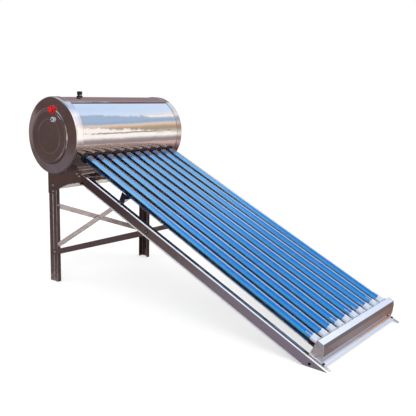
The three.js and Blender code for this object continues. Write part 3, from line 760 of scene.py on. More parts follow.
def coating_material():
    """Selective coating: a blue mirror, paler towards the tank.

    Painted light: it turns neutral at a glancing angle and dark where the neighbouring tube shades
    it.
    Ramps run from the tank end (0) to the tail end (1).
    """
    material, tree = new_material("selective_coating")
    place = tree.coords()
    x, y, z = tree.split(place)
    down = tree.along(TUBE_DOWN, y, z)
    patches = tree.noise(place, scale=4.0, detail=3)
    run = tree.maths("ADD", tree.remap(down, (0.23, 1.93)),
                     tree.remap(patches, (0.3, 0.7), to=(-0.06, 0.06)))
    deep = tree.ramp(run, [(0.06, (0.28, 0.62, 1.0)), (0.22, (0.18, 0.53, 0.97)),
                           (0.45, (0.040, 0.34, 0.87)), (0.69, (0.006, 0.26, 0.74)),
                           (0.92, (0.002, 0.245, 0.70))])
    pale = tree.ramp(run, [(0.06, (0.30, 0.66, 1.0)), (0.22, (0.36, 0.72, 1.0)),
                           (0.6, (0.17, 0.60, 1.0)), (0.92, (0.14, 0.56, 1.0))])
    up = tree.dot(tree.normal(), TUBE_UP)

    # Painted highlight: pale where the surface rises little above the shade line, with streaks along
    # the tube
    shade_line = tree.ramp(run, [(at, (level,) * 3) for at, level in (
        (0.0, 0.50), (0.06, 0.47), (0.22, 0.39), (0.45, 0.26), (0.69, 0.23), (0.92, 0.22))])
    above = tree.maths("SUBTRACT", up, shade_line)
    streak = tree.noise(place, scale=1.0, detail=3, rough=0.5, stretch=(260.0, 5.0, 5.0))
    streaked = tree.maths("ADD", above, tree.remap(streak, (0.3, 0.7), to=(-0.03, 0.03)))
    colour = tree.mix(tree.remap(streaked, (0.25, 0.62), to=(1, 0), smooth=True), deep, pale)
    colour = tree.mix(tree.remap(streak, (0.35, 0.7), to=(0, 0.10)), colour, (0.02, 0.24, 0.66))

    # Painted reflection: beside the tank the coating takes the colours of the tank's underside
    waver = tree.remap(tree.noise(place, scale=60.0, detail=2), (0.3, 0.7), to=(-0.012, 0.012))
    near = tree.remap(tree.maths("ADD", down, waver), (0.288, 0.312), to=(1, 0), smooth=True)
    warm = tree.mix(tree.remap(up, (0.93, 0.985), smooth=True),
                    (0.34, 0.17, 0.125), (0.05, 0.03, 0.03))
    underside = tree.mix(tree.remap(up, (0.70, 0.80), smooth=True), (0.012, 0.16, 0.62), warm)
    colour = tree.mix(tree.times(near, 0.92), colour, underside)
    shaded = tree.mix(tree.remap(up, (-0.15, 0.02), to=(1, 0), smooth=True),
                      (0.005, 0.010, 0.030), (0.012, 0.055, 0.15))
    colour = tree.mix(tree.remap(above, (-0.07, 0.07), smooth=True), shaded, colour)

    # Painted highlight: neutral at a glancing angle
    glancing = tree.add("LayerWeight", {"Blend": 0.5}).outputs["Facing"]
    edge = tree.times(tree.remap(glancing, (0.46, 0.62), smooth=True),
                      tree.remap(up, (0.3, 0.5), smooth=True))
    colour = tree.mix(edge, colour, tree.ramp(run, [
        (0.06, (0.22, 0.22, 0.27)), (0.20, (0.66, 0.65, 0.78)),
        (0.42, (0.92, 0.90, 1.0)), (0.9, (0.92, 0.92, 1.0))]))

    # Painted reflection: seen in the polished tank, the coating takes the warm colour of the ground
    seen = tree.times(tree.add("LightPath").outputs["Is Glossy Ray"],
                      tree.remap(up, (0.10, 0.25), smooth=True),
                      tree.remap(down, (0.75, 0.95), to=(1, 0), smooth=True))
    ground = tree.mix(tree.remap(up, (0.45, 0.62), to=(1, 0), smooth=True),
                      (0.50, 0.31, 0.27), (0.02, 0.02, 0.03))
    colour = tree.mix(tree.times(seen, 0.93), colour, ground)
    metallic = tree.maths(
        "ADD", tree.remap(edge, (0, 1), to=(0.70, 0.98)),
        tree.times(edge, tree.remap(run, (0.1, 0.45), to=(0, -0.50))))
    relief = tree.noise(place, scale=16.0, detail=3)
    tree.surface({"Base Color": colour, "Metallic": metallic,
                  "Roughness": tree.remap(patches, (0.3, 0.7), to=(0.13, 0.20)),
                  "Normal": tree.bump(relief, distance=0.0005)})
    return material


def getter_material():
    """Bright flash inside the tube's tip, with painted shade underneath."""
    material, tree = new_material("getter_mirror")
    place = tree.coords()
    patches = tree.noise(place, scale=40.0, detail=3)
    colour = tree.mix(tree.remap(patches, (0.4, 0.7)), (0.93, 0.94, 0.98), (0.80, 0.80, 0.86))
    # Painted shade on the faces that do not look up
    colour = tree.mix(tree.facing(-TUBE_UP, (-0.36, -0.14)), colour, (0.012, 0.012, 0.018))
    relief = tree.noise(place, scale=30.0, detail=2)
    tree.surface({"Base Color": colour, "Metallic": 0.55,
                  "Roughness": tree.remap(patches, (0.3, 0.7), to=(0.12, 0.3)),
                  "Normal": tree.bump(relief, distance=0.0006)})
    return material


FOAM = foam_material()
GLASS = glass_material()
COATING = coating_material()
GETTER = getter_material()


# ------------------------------------------------------------------ tank shell
def shell_outline():
    """Outside and inside of the rolled skin in (y, z), with a groove at the lapped joint."""
    seam = math.radians(58.0)
    groove = 3.6 / SHELL_R      # half width, as an angle
    angles = [2 * math.pi * k / 300 for k in range(300)]
    angles += [seam + groove * s for s in (-1.9, -1.5, -1.2, -1.0, -0.8, -0.6, -0.4, -0.2,
                                           0, 0.2, 0.4, 0.6, 0.8, 1.0, 1.3)]
    outer, inner = [], []
    for q in sorted(angles):
        s = (q - seam) / groove
        rise = 0.0
        if abs(s) < 1:
            rise = -1.9 * (0.5 + 0.5 * math.cos(math.pi * s))
        elif 1 <= s < 9:
            rise = -0.7 * (1 - (s - 1) / 8)
        for line, r in ((outer, SHELL_R + rise), (inner, SHELL_R + rise - 0.9)):
            line.append((-r * math.cos(q), r * math.sin(q)))
    return outer, inner


def shell_tube(outer, inner, half, steps):
    """Open-ended tube along x between two outlines."""
    bm = bmesh.new()
    count = len(outer)
    rows = []
    for k in range(steps + 1):
        x = -half + 2 * half * k / steps
        rows.append([[bm.verts.new((x, y, z + TANK_Z)) for y, z in line]
                     for line in (outer, inner)])
    wrap = [(k, (k + 1) % count) for k in range(count)]
    for (out0, in0), (out1, in1) in zip(rows, rows[1:]):
        for k, j in wrap:
            bm.faces.new((out0[k], out0[j], out1[j], out1[k]))
            bm.faces.new((in0[j], in0[k], in1[k], in1[j]))
    (out0, in0), (out1, in1) = rows[0], rows[-1]
    for k, j in wrap:
        bm.faces.new((out0[k], in0[k], in0[j], out0[j]))
    for k, j in wrap:
        bm.faces.new((out1[k], out1[j], in1[j], in1[k]))
    bmesh.ops.recalc_face_normals(bm, faces=bm.faces)
    return bm


shell_holes = joined(*tube_rods(33.6, 120, 320, 48), rod(15, VENT, Z_DIR, 150, 300))
shell = boolean(shell_tube(*shell_outline(), SHELL_HALF, 8), shell_holes)
piece("outer_shell_skin", shell, SHELL_STEEL, "mirror_steel", 20, "outer_shell", weighted=True)

# ------------------------------------------------------------------ end caps
# (radius, distance beyond the tank's half length), and the corner radii
CAP_POINTS = [(CAP_R, -50), (CAP_R, -10), (228.4, -3.0), (221, 0.4), (168, 14), (161, 19),
              (156, 21), (151, 19), (145, 16.2), (106, 16.6), (101.5, 18.0), (97, 16.6), (0, 17)]
CAP_RADII = [0, 5, 4, 10, 5, 4, 3, 4, 6, 3, 2.5, 3, 0]
CAP_OUTLINE = fillet(CAP_POINTS, CAP_RADII, 5)


def end_cap(*holes):
    """Left cap, 1 mm thick, with a rolled hem at its open edge. A hole is (place, radius)."""
    inner = offset(CAP_OUTLINE, 1.0)
    inner[-1].x = 0
    hem_centre = Vector((CAP_R - 0.2, -50))
    hem = []
    for k in range(9):
        q = math.radians(60 - 30 * k)
        hem.append(hem_centre + Vector((math.cos(q), math.sin(q))) * 1.5)
    profile = CAP_OUTLINE[:0:-1] + hem + inner[1:]
    cap = lathe(profile, 192, Vector((-TANK_HALF, 0, TANK_Z)), -X_DIR)
    return boolean(cap, *[rod(radius, end_point(place), -X_DIR, 430, 520, 40)
                          for place, radius in holes])


piece("left_end_cap_skin", end_cap((UPPER_PORT, 15), (SENSOR, 9)), CAP_STEEL, "dark_steel", 30,
      "left_end_cap")
piece("right_end_cap_skin", mirrored(end_cap((LOWER_PORT, 15))), CAP_STEEL, "dark_steel", 30,
      "right_end_cap")


# ------------------------------------------------------------------ inner tank, foam
def inner_drum():
    half = [(p.x, p.y) for p in fillet(
        [(180, 0), (180, 388), (172, 408), (150, 422), (95, 434), (0, 440)],
        [0, 18, 20, 30, 60, 0], 5)[1:]]
    profile = [(r, -x) for r, x in reversed(half)] + half
    hollow = [(r * 178.5 / 180, x * 438.5 / 440) for r, x in profile]
    return boolean(lathe(profile, 96, TANK, X_DIR), lathe(hollow, 96, TANK, X_DIR),
                   joined(*tube_rods(33.3, 120, 320, 40)))


def thread(at, axis, start, end, radius=13.4, pitch=1.8, depth=0.8, bore=9.5):
    """Threaded pipe whose plain part reaches 60 mm inwards."""
    profile = [(bore, start - 60), (radius - depth, start - 60), (radius - depth, start)]
    p = start
    while p + pitch <= end:
        profile += [(radius - depth, p + 0.15), (radius, p + pitch * 0.42),
                    (radius, p + pitch * 0.58), (radius - depth, p + pitch * 0.98)]
        p += pitch
    profile += [(radius - depth, end - 0.4), (radius - depth - 0.8, end), (bore + 0.6, end),
                (bore, end - 0.6)]
    return lathe(profile, 48, at, axis, loop=True)


def recoat(obj, material):
    obj.data.materials.clear()
    obj.data.materials.append(material)


piece("inner_tank_drum", inner_drum(), INNER_STEEL, "inner_steel", 30, "inner_tank")
for name, at, axis, start, end in (
        ("left_port_thread", end_point(UPPER_PORT), -X_DIR, 474, 492.8),
        ("right_port_thread", end_point(LOWER_PORT), X_DIR, 474, 492.8),
        ("vent_neck_thread", VENT, Z_DIR, 234, 256)):
    piece(name, thread(at, axis, start, end), THREAD_STEEL, "inner_steel", 25)
recoat(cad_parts["foam_insulation"], FOAM)


# ------------------------------------------------------------------ vent, ports and sensor plug
# Profiles are (radius, distance from the tank's axis or from its middle plane).
VENT_GROMMET = [(14.2, 221), (18.5, 221), (18.7, 231), (18.5, 234.2), (17.6, 236.0),
                (16.2, 237.0), (15.0, 236.8), (14.2, 236.0)]
VENT_CAP = [(0, 263.4), (8.6, 263.4), (12.0, 263.0), (14.6, 262.0), (15.8, 260.4),
            (16.0, 258.5), (16.0, 252), (16.0, 246), (16.1, 243.2), (16.2, 242.2),
            (15.6, 241.8), (13.9, 241.8), (13.9, 257.4), (12.8, 258.4), (0, 258.4)]
PORT_GROMMET = [(14.1, 470), (24.8, 470), (25.0, 478), (25.0, 482.6), (24.2, 485.2),
                (22.2, 486.8), (19.4, 487.0), (18.0, 485.4), (16.8, 484.6), (15.8, 484.8),
                (14.8, 485.4), (14.1, 485.0)]
PORT_CAP = [(0, 499.6), (5, 500.0), (9.5, 500.0), (10.5, 499.2), (12.0, 499.2), (13.4, 500.0),
            (15.2, 499.7), (16.6, 498.4), (17.0, 497.0), (17.0, 494.0), (16.6, 492.8),
            (15.4, 492.5), (15.1, 491.8), (15.1, 488.2), (14.8, 487.7), (14.0, 487.7),
            (14.0, 493.9), (13.2, 494.6), (0, 494.6)]
SENSOR_PLUG = [(0, 486.2), (11, 486.2), (13.6, 485.5), (15.0, 483.8), (15.3, 481.5),
               (15.3, 477.4), (14.9, 477.1), (4.6, 477.1), (4.6, 446), (3.8, 445), (0, 445)]


def fluted(count, depth, low, high):
    """Grip flutes on the outside of a cap, between two positions."""
    def radius_at(radius, position, q):
        if low <= position <= high and radius > 14.5:
            return radius - depth * (0.5 + 0.5 * math.cos(count * q)) ** 3
        return radius
    return radius_at


def port_parts(side, sign, place):
    """Red grommet, trimmed to the end cap's face, and its cap."""
    at, outward = end_point(place), X_DIR * sign
    face = [(0, -40), (CAP_R, -40)] + [(p.x, p.y + 0.25) for p in CAP_OUTLINE[1:]]
    grommet = boolean(lathe(PORT_GROMMET, 72, at, outward, loop=True),
                      lathe(face, 192, Vector((TANK_HALF * sign, 0, TANK_Z)), outward))
    piece(side + "_port_grommet_ring", grommet, RED_SILICONE, "red_rubber", 35,
          side + "_port_grommet")
    cap = lathe(PORT_CAP, 192, at, outward, radius_at=fluted(20, 0.8, 493.2, 498.6))
    piece(side + "_port_cap_shell", cap, RED_PLASTIC, "red_plastic", 40, side + "_port_cap",
          body=side + "_port_cap_body")


def sensor_plug():
    """Round head and stem, with a screwdriver slot."""
    y, z = SENSOR[0], TANK_Z + SENSOR[1]
    slot = block((-490, -484.4), (y - 9.5, y + 9.5), (z - 1.4, z + 1.4))
    return boolean(lathe(SENSOR_PLUG, 64, end_point(SENSOR), -X_DIR), slot)


vent_grommet = boolean(lathe(VENT_GROMMET, 64, VENT, Z_DIR, loop=True),
                       rod(SHELL_R + 0.25, TANK, X_DIR, -350, -150, 256))
piece("vent_grommet_ring", vent_grommet, SEAL_RUBBER, "black_rubber", 35, "vent_grommet")
vent_cap = lathe(VENT_CAP, 192, VENT, Z_DIR, radius_at=fluted(24, 0.9, 244, 260.8))
piece("vent_cap_shell", vent_cap, VENT_PLASTIC, "black_plastic", 40, "vent_cap",
      body="vent_cap_body")
port_parts("left", -1, UPPER_PORT)
port_parts("right", 1, LOWER_PORT)
piece("sensor_plug_head", sensor_plug(), PLUG_STEEL, "pale_steel", 30, "sensor_plug",
      body="sensor_plug_body", bevel=0.25)

# ------------------------------------------------------------------ evacuated tubes
FIRST_TUBE = tube_at(0)
STATIONS = (600, 1100, 1600)    # rings along the straight walls
GETTER_START = 1927.0


def dome(radius, end, depth, steps):
    """Rounded closed end, without its pole."""
    out = []
    for k in range(steps):
        q = math.radians(90 * k / steps)
        out.append((radius * math.cos(q), end - depth + depth * math.sin(q)))
    return out


def straight(radius):
    return [(radius, p) for p in STATIONS]


def tube_lathe(profile):
    """Turns the first tube's part and joins the two rims at its open end."""
    bm = lathe(profile, 64, FIRST_TUBE, TUBE_DOWN)
    bmesh.ops.bridge_loops(bm, edges=[e for e in bm.edges if e.is_boundary])
    bmesh.ops.recalc_face_normals(bm, faces=bm.faces)
    return bm


def tube_glass():
    """Outer glass with a rolled mouth and a sealed-off tip."""
    bore = GLASS_R - GLASS_WALL
    outside = [(25.2, TUBE_START + 1.0), (26.6, TUBE_START), (28.1, TUBE_START + 0.9),
               (GLASS_R, TUBE_START + 3.6), *straight(GLASS_R),
               *dome(GLASS_R, TUBE_END - 5, 27, 12),
               (3.4, TUBE_END - 4.4), (2.6, TUBE_END - 1.8), (1.6, TUBE_END - 0.3),
               (0, TUBE_END)]
    inside = [(0, TUBE_END - 3.2), (1.6, TUBE_END - 5.4),
              *dome(bore, TUBE_END - 6.6, 25.4, 12)[::-1], *straight(bore)[::-1],
              (bore, TUBE_START + 9), (25.4, TUBE_START + 5.5)]
    return tube_lathe(outside + inside)


def tube_coating():
    """The coated inner tube."""
    bore, end = COATING_R - GLASS_WALL, TUBE_END - 43
    inner_end = end - GLASS_WALL
    return tube_lathe([
        (COATING_R, TUBE_START + 6), *straight(COATING_R), *dome(COATING_R, end, 20, 10),
        (0, end), (0, inner_end), *dome(bore, inner_end, 19, 10)[::-1],
        *straight(bore)[::-1], (bore, TUBE_START + 6)])


def tube_getter():
    """Thin cup inside the glass's closed end, with a wavy edge."""
    outside, inside = GLASS_R - 1.75, GLASS_R - 2.3
    bm = tube_lathe([
        (outside, GETTER_START), (outside, 1956), *dome(outside, TUBE_END - 6.8, 25.2, 12),
        (0, TUBE_END - 6.8), (0, TUBE_END - 7.4),
        *dome(inside, TUBE_END - 7.4, 24.6, 12)[::-1], (inside, 1956), (inside, GETTER_START)])
    for v in bm.verts:
        if (v.co - FIRST_TUBE).dot(TUBE_DOWN) < GETTER_START + 6:
            q = math.atan2((v.co - FIRST_TUBE).dot(TUBE_UP), v.co.x - FIRST_TUBE.x)
            v.co += TUBE_DOWN * (1.8 * math.sin(3 * q + 0.6) + 1.1 * math.sin(7 * q))
    return bm


# (distance from the tube's axis, distance short of the tube's end)
CLIP_LINE = [(1.2, 40.4), (12, 40.8), (19, 44), (23.2, 51), (24.6, 60), (26.4, 72),
             (25.2, 86), (24.7, 97)]
CLIP_TURNS = [-38, -62, 20, 75, -5, -48, 62, -58, -34, 8]   # degrees, one per tube


def spring_clip(at, turn):
    """Steel clip that centres the inner tube's closed end; its three legs lie along it."""
    outline = sheet([(r, TUBE_END - p) for r, p in CLIP_LINE], 6.0, thickness=0.5)
    parts = []
    for k in range(3):
        q = math.radians(turn + 120 * k)
        radial = X_DIR * math.sin(q) + TUBE_UP * math.cos(q)
        side = TUBE_DOWN.cross(radial)

        def place(u, v, w):
            return at + TUBE_DOWN * v + radial * u + side * w

        parts.append(prism(outline, place, -2.6, 2.6))
    parts.append(rod(3.4, at, TUBE_DOWN, TUBE_END - 41.2, TUBE_END - 40.6, 20))
    return boolean(*parts, op="UNION")


def tube_part(i, name, source):
    replaces = f"vacuum_tube_{i + 1:02d}" if name == "glass" else None
    repeat_at_tube(source, i, f"tube_{i + 1:02d}_{name}", f"tube_{i + 1:02d}",
                   replaces)


tube_objects = {}
for name, build, material in (("glass", tube_glass, GLASS), ("coating", tube_coating, COATING),
                              ("getter", tube_getter, GETTER)):
    tube_objects[name] = piece(
        "tube_01_" + name, build(), material, "tube_glass", 40,
        "vacuum_tube_01" if name == "glass" else None, body="tube_01")
for i in range(TUBES):
    piece(f"tube_{i + 1:02d}_clip", spring_clip(tube_at(i), CLIP_TURNS[i]), CLIP_STEEL,
          "tube_glass", 30, body=f"tube_{i + 1:02d}")
for i in range(1, TUBES):
    for name, source in tube_objects.items():
        tube_part(i, name, source)

# ------------------------------------------------------------------ tube seals and tail cups
# (radius, distance down the tube)
COLLAR = [(29.45, 206), (36.6, 206), (36.6, 233.4), (36.2, 235.2), (35.2, 236.2),
          (34.2, 236.5), (33.4, 236.9), (33.0, 238.6), (32.5, 240.4), (31.6, 241.6),
          (30.4, 242.0), (29.45, 241.4)]
NECK = [(29.45, 170), (30.2, 169.4), (32.4, 169.4), (33.0, 170.2), (33.0, 231), (29.45, 231)]
CUP = [(7, 1994.2), (20, 1993.8), (25.5, 1990.2), (29.3, 1984), (29.45, 1976),
       (29.45, 1963.4), (29.9, 1962.3), (31.0, 1962.0), (32.4, 1962.2), (33.3, 1963.2),
       (33.6, 1965), (33.6, 1967.6), (33.2, 1968.4), (32.0, 1968.6), (32.0, 1984.5),
       (30.6, 1987.4), (23.6, 1995.6), (21.4, 1996.8), (7, 1997)]


def seal_collar():
    """Collar outside the shell, cut to the shell's curve."""
    curve = [(200, -40), (SHELL_R + 0.3, -40), (SHELL_R + 0.3, 80), (200, 80)]
    return boolean(lathe(COLLAR, 64, FIRST_TUBE, TUBE_DOWN, loop=True),
                   lathe(curve, 300, Vector((tube_x(0) - 20, 0, TANK_Z)), X_DIR, loop=True))


tube_fittings = []
for name, cad_name, solid, material, slot in (
        ("tube_seal_collar", "tube_seal", seal_collar(), SEAL_RUBBER, "black_rubber"),
        ("tube_seal_neck", None, lathe(NECK, 64, FIRST_TUBE, TUBE_DOWN, loop=True),
         SEAL_RUBBER, "black_rubber"),
        ("tail_cup_ring", "tail_cup", lathe(CUP, 64, FIRST_TUBE, TUBE_DOWN, loop=True),
         CUP_PLASTIC, "cup_plastic")):
    source = piece(name + "_01", solid, material, slot, 35, cad_name and cad_name + "_01")
    tube_fittings.append((source, name, cad_name, slot))
for i in range(1, TUBES):
    number = f"_{i + 1:02d}"
    for source, name, cad_name, slot in tube_fittings:
        repeat_at_tube(source, i, name + number, replaces=cad_name and cad_name + number)


# ------------------------------------------------------------------ tail stock
def floor_square(along):
    """Underside of the tail stock, which lies on the rails, square to the tubes."""
    return -81.2 + (along - TUBE_END) * math.tan(TILT - RAIL_TILT) + 0.35


def tail_bolt_at(sign, lift=0):
    y, z = slope_yz(TAIL_BOLT_ALONG, floor_square(TAIL_BOLT_ALONG) + lift)
    return Vector((sign * TAIL_BOLT_X, y, z))


def tail_channel():
    """Folded channel across the tube ends, with a hole for each tube in its upper wall."""
    line = [(TAIL_WALL + 22, floor_square(TAIL_WALL + 22) + HALF),
            (TAIL_WALL + HALF, floor_square(TAIL_WALL) + HALF),
            (TAIL_WALL + HALF, 5.25), (2001.8, 5.25), (2012.2, -11), (2025, -50),
            (2029, floor_square(2029) + HALF), (2055, floor_square(2055) + HALF)]
    outline = sheet([slope_yz(*p) for p in line], [0, 2.2, 1.8, 1.8, 8, 24, 2.2, 0], 5)
    bolt_holes = [rod(BOLT_HOLE_R, tail_bolt_at(sign), RAIL_UP, -8, 8, 20) for sign in (-1, 1)]
    return boolean(prism(outline, along_x, -TAIL_HALF, TAIL_HALF, 12),
                   joined(*tube_rods(32.3, 1950, 1976, 48), *bolt_holes))


def tail_plate():
    """Left end plate with a shallow pocket inside a rim, and two screw holes."""
    line = [(TAIL_WALL - 4, floor_square(TAIL_WALL - 4)), (TAIL_WALL - 2, -40),
            (TAIL_WALL - 1, 8), (2003.5, 8), (2014.5, -10), (2028, -51),
            (2032, floor_square(2032))]
    points = [Vector(slope_yz(*p)) for p in line]
    outline = fillet(points, [3, 0, 3, 4, 10, 20, 3], 4, closed=True)
    centre = sum(points, Vector((0, 0))) / len(points)
    rim = [p + (centre - p).normalized() * 5.5 for p in points]
    pocket = prism(fillet(rim, 4, 4, closed=True), along_x, -TAIL_HALF - 6, -TAIL_HALF - 2.7)
    holes = [rod(2.2, Vector((0, *slope_yz(*place))), -X_DIR, TAIL_HALF - 2, TAIL_HALF + 8, 20)
             for place in TAIL_SCREWS]
    return boolean(prism(outline, along_x, -TAIL_HALF - 3.4, -TAIL_HALF - 0.35), pocket, *holes)


piece("tail_stock_channel", tail_channel(), TAIL_STEEL, "frame_steel", 25, "tail_stock",
      bevel=0.35)
both_sides("tail_plate", "tail_end_plate", tail_plate, PLATE_STEEL, slot="end_plate",
           bevel=0.35, sharp=28)


# ------------------------------------------------------------------ rails and legs
def rail_place(u, v, w):
    return Vector((u, RAIL_Y, RAIL_Z)) + RAIL_UP * v + RAIL_DOWN * w


def rail():
    """Left rail: folded channel, cut level at the ground and upright at both ends."""
    line = [(-RAIL_OUT + 34, -HALF), (-RAIL_OUT + HALF, -HALF), (-RAIL_OUT + HALF, -53.25),
            (-RAIL_OUT - 5, -53.25)]
    bm = prism(sheet(line, [0, 2.6, 2.4, 0], 5), rail_place, -400, 2000, 24)
    cuts = [
        # below the ground, behind the upper end, in front of the toe
        block((-700, 100), (-2600, 400), (-500, 0)),
        block((-700, 100), (-216, 900), (-100, 1600)),
        block((-700, 100), (-2600, RAIL_TOE_Y), (-100, 300)),
        # top flange and outer lip near the tank
        block((-RAIL_OUT + SHEET + 0.02, 100), (-262, 0), (560, 900)),
        block((-RAIL_OUT - 40, -RAIL_OUT + 0.01), (-266, 0), (400, 900))]
    drills = [rod(5.0, Vector((0, *place)), -X_DIR, 400, 440, 24)
              for place in (RAIL_BOLT, TOE_BOLT)]
    drills.append(rod(BOLT_HOLE_R, tail_bolt_at(-1), RAIL_UP, -12, 8, 20))
    return boolean(bm, *cuts, joined(*drills))


def leg():
    """Left rear leg: upright channel with a pressed rib in its web."""
    web = -LEG_OUT + HALF
    rib = web + 3.4
    line = [(-LEG_OUT + 26, 31.5), (-LEG_OUT + 26, 25.75), (web, 25.75), (web, 43.8),
            (rib, 47.6), (rib, 59.4), (web, 63.2), (web, 97.25),
            (-LEG_OUT + 38, 97.25), (-LEG_OUT + 38, 91.0)]
    outline = sheet(line, [0, 1.8, 4.2, 2.2, 2.2, 2.2, 2.2, 2.6, 1.8, 0], 5)
    return prism(outline, upright, 0, 686, 10)


both_sides("rail_section", "rail", rail, RAIL_STEEL, slot="frame_steel", bevel=0.35, sharp=25)
both_sides("rear_leg_section", "rear_leg", leg, LEG_STEEL, RIGHT_LEG_STEEL, slot="dark_steel",
           bevel=0.35, sharp=25)

# ------------------------------------------------------------------ saddles
SADDLE_R = CAP_R + 0.6
SADDLE_BACK, SADDLE_FRONT = 24.9, -46.0     # degrees from straight below the axis


def arc(radius, start, end):
    """(y, z) points under the tank, between two angles in degrees."""
    out = []
    for k in range(41):
        q = math.radians(start + (end - start) * k / 40)
        out.append((radius * math.sin(q), TANK_Z - radius * math.cos(q)))
    return out


def saddle():
    """Left saddle: upright plate, the cradle under the tank and a turned lower edge."""
    lower = [(-116, 646), (-58, 625), (-10, 603)]
    outline = [(99, 562), *arc(SADDLE_R + 1, SADDLE_BACK + 0.2, SADDLE_FRONT), (-224, 706),
               (-246, 690), (-231, 654), (-207, 646), (-196, 656), (-179, 661), *lower,
               (26, 584), (26, 562)]
    radii = [2] + [0] * 41 + [6, 10, 6, 8, 10, 10, 0, 0, 14, 10, 2]
    plate = prism(fillet(outline, radii, 4, closed=True), along_x, -416.9, -415.2)
    band = (arc(SADDLE_R, SADDLE_BACK, SADDLE_FRONT)
            + arc(SADDLE_R + 1.7, SADDLE_FRONT, SADDLE_BACK))
    cradle = prism(band, along_x, -446, -415.4)
    lip = prism(sheet([(-176, 660.5), *lower, (22, 586.5)], 20), along_x, -421.5, -415.4)
    return boolean(plate, cradle, lip, op="UNION")


both_sides("saddle_plate", "saddle", saddle, SADDLE_STEEL, slot="dark_steel", bevel=0.3,
           sharp=28)

# ------------------------------------------------------------------ struts, braces, cross member
BRACE_X = 401
LEG_FRONT_Y = 25
BACK_BRACE_Y = LEG_FRONT_Y + SHEET + 0.35   # brace behind the legs' front flange
FRONT_BRACE_Y = LEG_FRONT_Y - 0.35


def bar(start, end, normal, trims, reach, lip, width, lip_side=1):
    """Flat bar with rounded ends and turned-up edges.

    trims are the lengths without edges at each end, reach is how far the ends pass the
    points, lip is the height of the edges and lip_side their side of the bar.
    """
    way = (end - start).normalized()
    across = normal.cross(way).normalized()
    up = way.cross(across) * lip_side
    length = (end - start).length
    half = width / 2

    def lengthwise(u, v, w):
        return start + way * w + across * u + up * v

    def flat(u, v, w):
        return start + way * u + across * v + up * w

    outline = [(-reach, -half), (length + reach, -half), (length + reach, half), (-reach, half)]
    strip = prism(fillet(outline, 9, 5, closed=True), flat, 0, SHEET)
    section = [(-half + HALF, lip), (-half + HALF, HALF), (half - HALF, HALF),
               (half - HALF, lip)]
    channel = prism(sheet(section, [0, 1.9, 1.9, 0]), lengthwise,
                    trims[0], length - trims[1], 6)
    return boolean(strip, channel, op="UNION")


def side_strut():
    return bar(Vector((-417.0, *STRUT_BOLT)), Vector((-417.0, *RAIL_BOLT)), X_DIR,
               trims=(46, 66), reach=13, lip=6.0, width=34.0)


def rear_brace(y, left_z, right_z, **shape):
    return bar(Vector((-BRACE_X, y, left_z)), Vector((BRACE_X, y, right_z)), Y_DIR,
               trims=(26, 26), lip=5.0, width=31.0, **shape)


def cross_member():
    """Channel between the legs, open to the back, with two pressed ribs."""
    web = BACK_BRACE_Y + HALF
    rib = web + 5
    edge = BACK_BRACE_Y + 19.25
    line = [(edge, 600), (edge, 592.75), (web, 592.75), (web, 617.7), (rib, 622.7),
            (rib, 629.3), (web, 634.3), (web, 645.7), (rib, 650.7), (rib, 657.3),
            (web, 662.3), (web, 690.25), (edge, 690.25), (edge, 684)]
    outline = sheet(line, [0, 1.8, 2.4, 3, 4, 4, 3, 3, 4, 4, 3, 2.4, 1.8, 0])
    return prism(outline, along_x, -411, 411, 10)


both_sides("side_strut_bar", "side_strut", side_strut, LEG_STEEL, slot="dark_steel", bevel=0.3,
           sharp=25)
piece("falling_brace_bar", rear_brace(BACK_BRACE_Y, 488.5, 195.5, reach=5), FALLING_STEEL,
      "frame_steel", 25, "rear_brace_falling", bevel=0.3)
piece("rising_brace_bar", rear_brace(FRONT_BRACE_Y, 241.5, 543.5, reach=8, lip_side=-1),
      RISING_STEEL, "frame_steel", 25, "rear_brace_rising", bevel=0.3)
piece("cross_member_channel", cross_member(), CROSS_STEEL, "frame_steel", 25,
      "rear_cross_member", bevel=0.3)

# ------------------------------------------------------------------ middle tube rest
REST_ALONG, REST_WIDTH, REST_HALF = 623.0, 38.0, 397.0
REST_FOOT = -98.2                           # square to the tubes, as is REST_TOP
REST_TOP = -DROP - GLASS_R - 1.2


def rest_place(u, v, w):
    return TANK + X_DIR * u + TUBE_UP * v + TUBE_DOWN * (REST_ALONG + w)


def tube_rest():
    """Strap under the tubes with two lips, and an angled cheek down to each rail."""
    half = REST_WIDTH / 2
    parts = [prism(sheet([(-REST_HALF + 1.2, REST_TOP - HALF),
                          (REST_HALF - 1.2, REST_TOP - HALF)], 0), rest_place, -half, half)]
    for end in (-1, 1):
        def lip_place(u, v, w):
            return rest_place(u, REST_TOP - 5 + w, end * (half - HALF) + v)

        parts.append(prism(sheet([(-REST_HALF + 4, 0), (REST_HALF - 4, 0)], 0),
                           lip_place, -0.5, 5))
    for sign in (-1, 1):
        line = [(sign * (REST_HALF + 15), REST_FOOT + HALF),
                (sign * (REST_HALF - HALF), REST_FOOT + HALF), (sign * (REST_HALF - HALF), -37)]
        parts.append(prism(sheet(line, [0, 2.2, 0]), rest_place, -half, half))
    return boolean(*parts, op="UNION")


piece("middle_rest_strap", tube_rest(), REST_STEEL, "frame_steel", 25, "middle_tube_rest",
      bevel=0.3)

# ------------------------------------------------------------------ fasteners
HEX_R = 10.0 / math.sqrt(3)     # corner radius of heads and nuts, 10 mm across flats
HEXAGON = [(HEX_R * math.cos(math.radians(60 * k)), HEX_R * math.sin(math.radians(60 * k)))
           for k in range(6)]


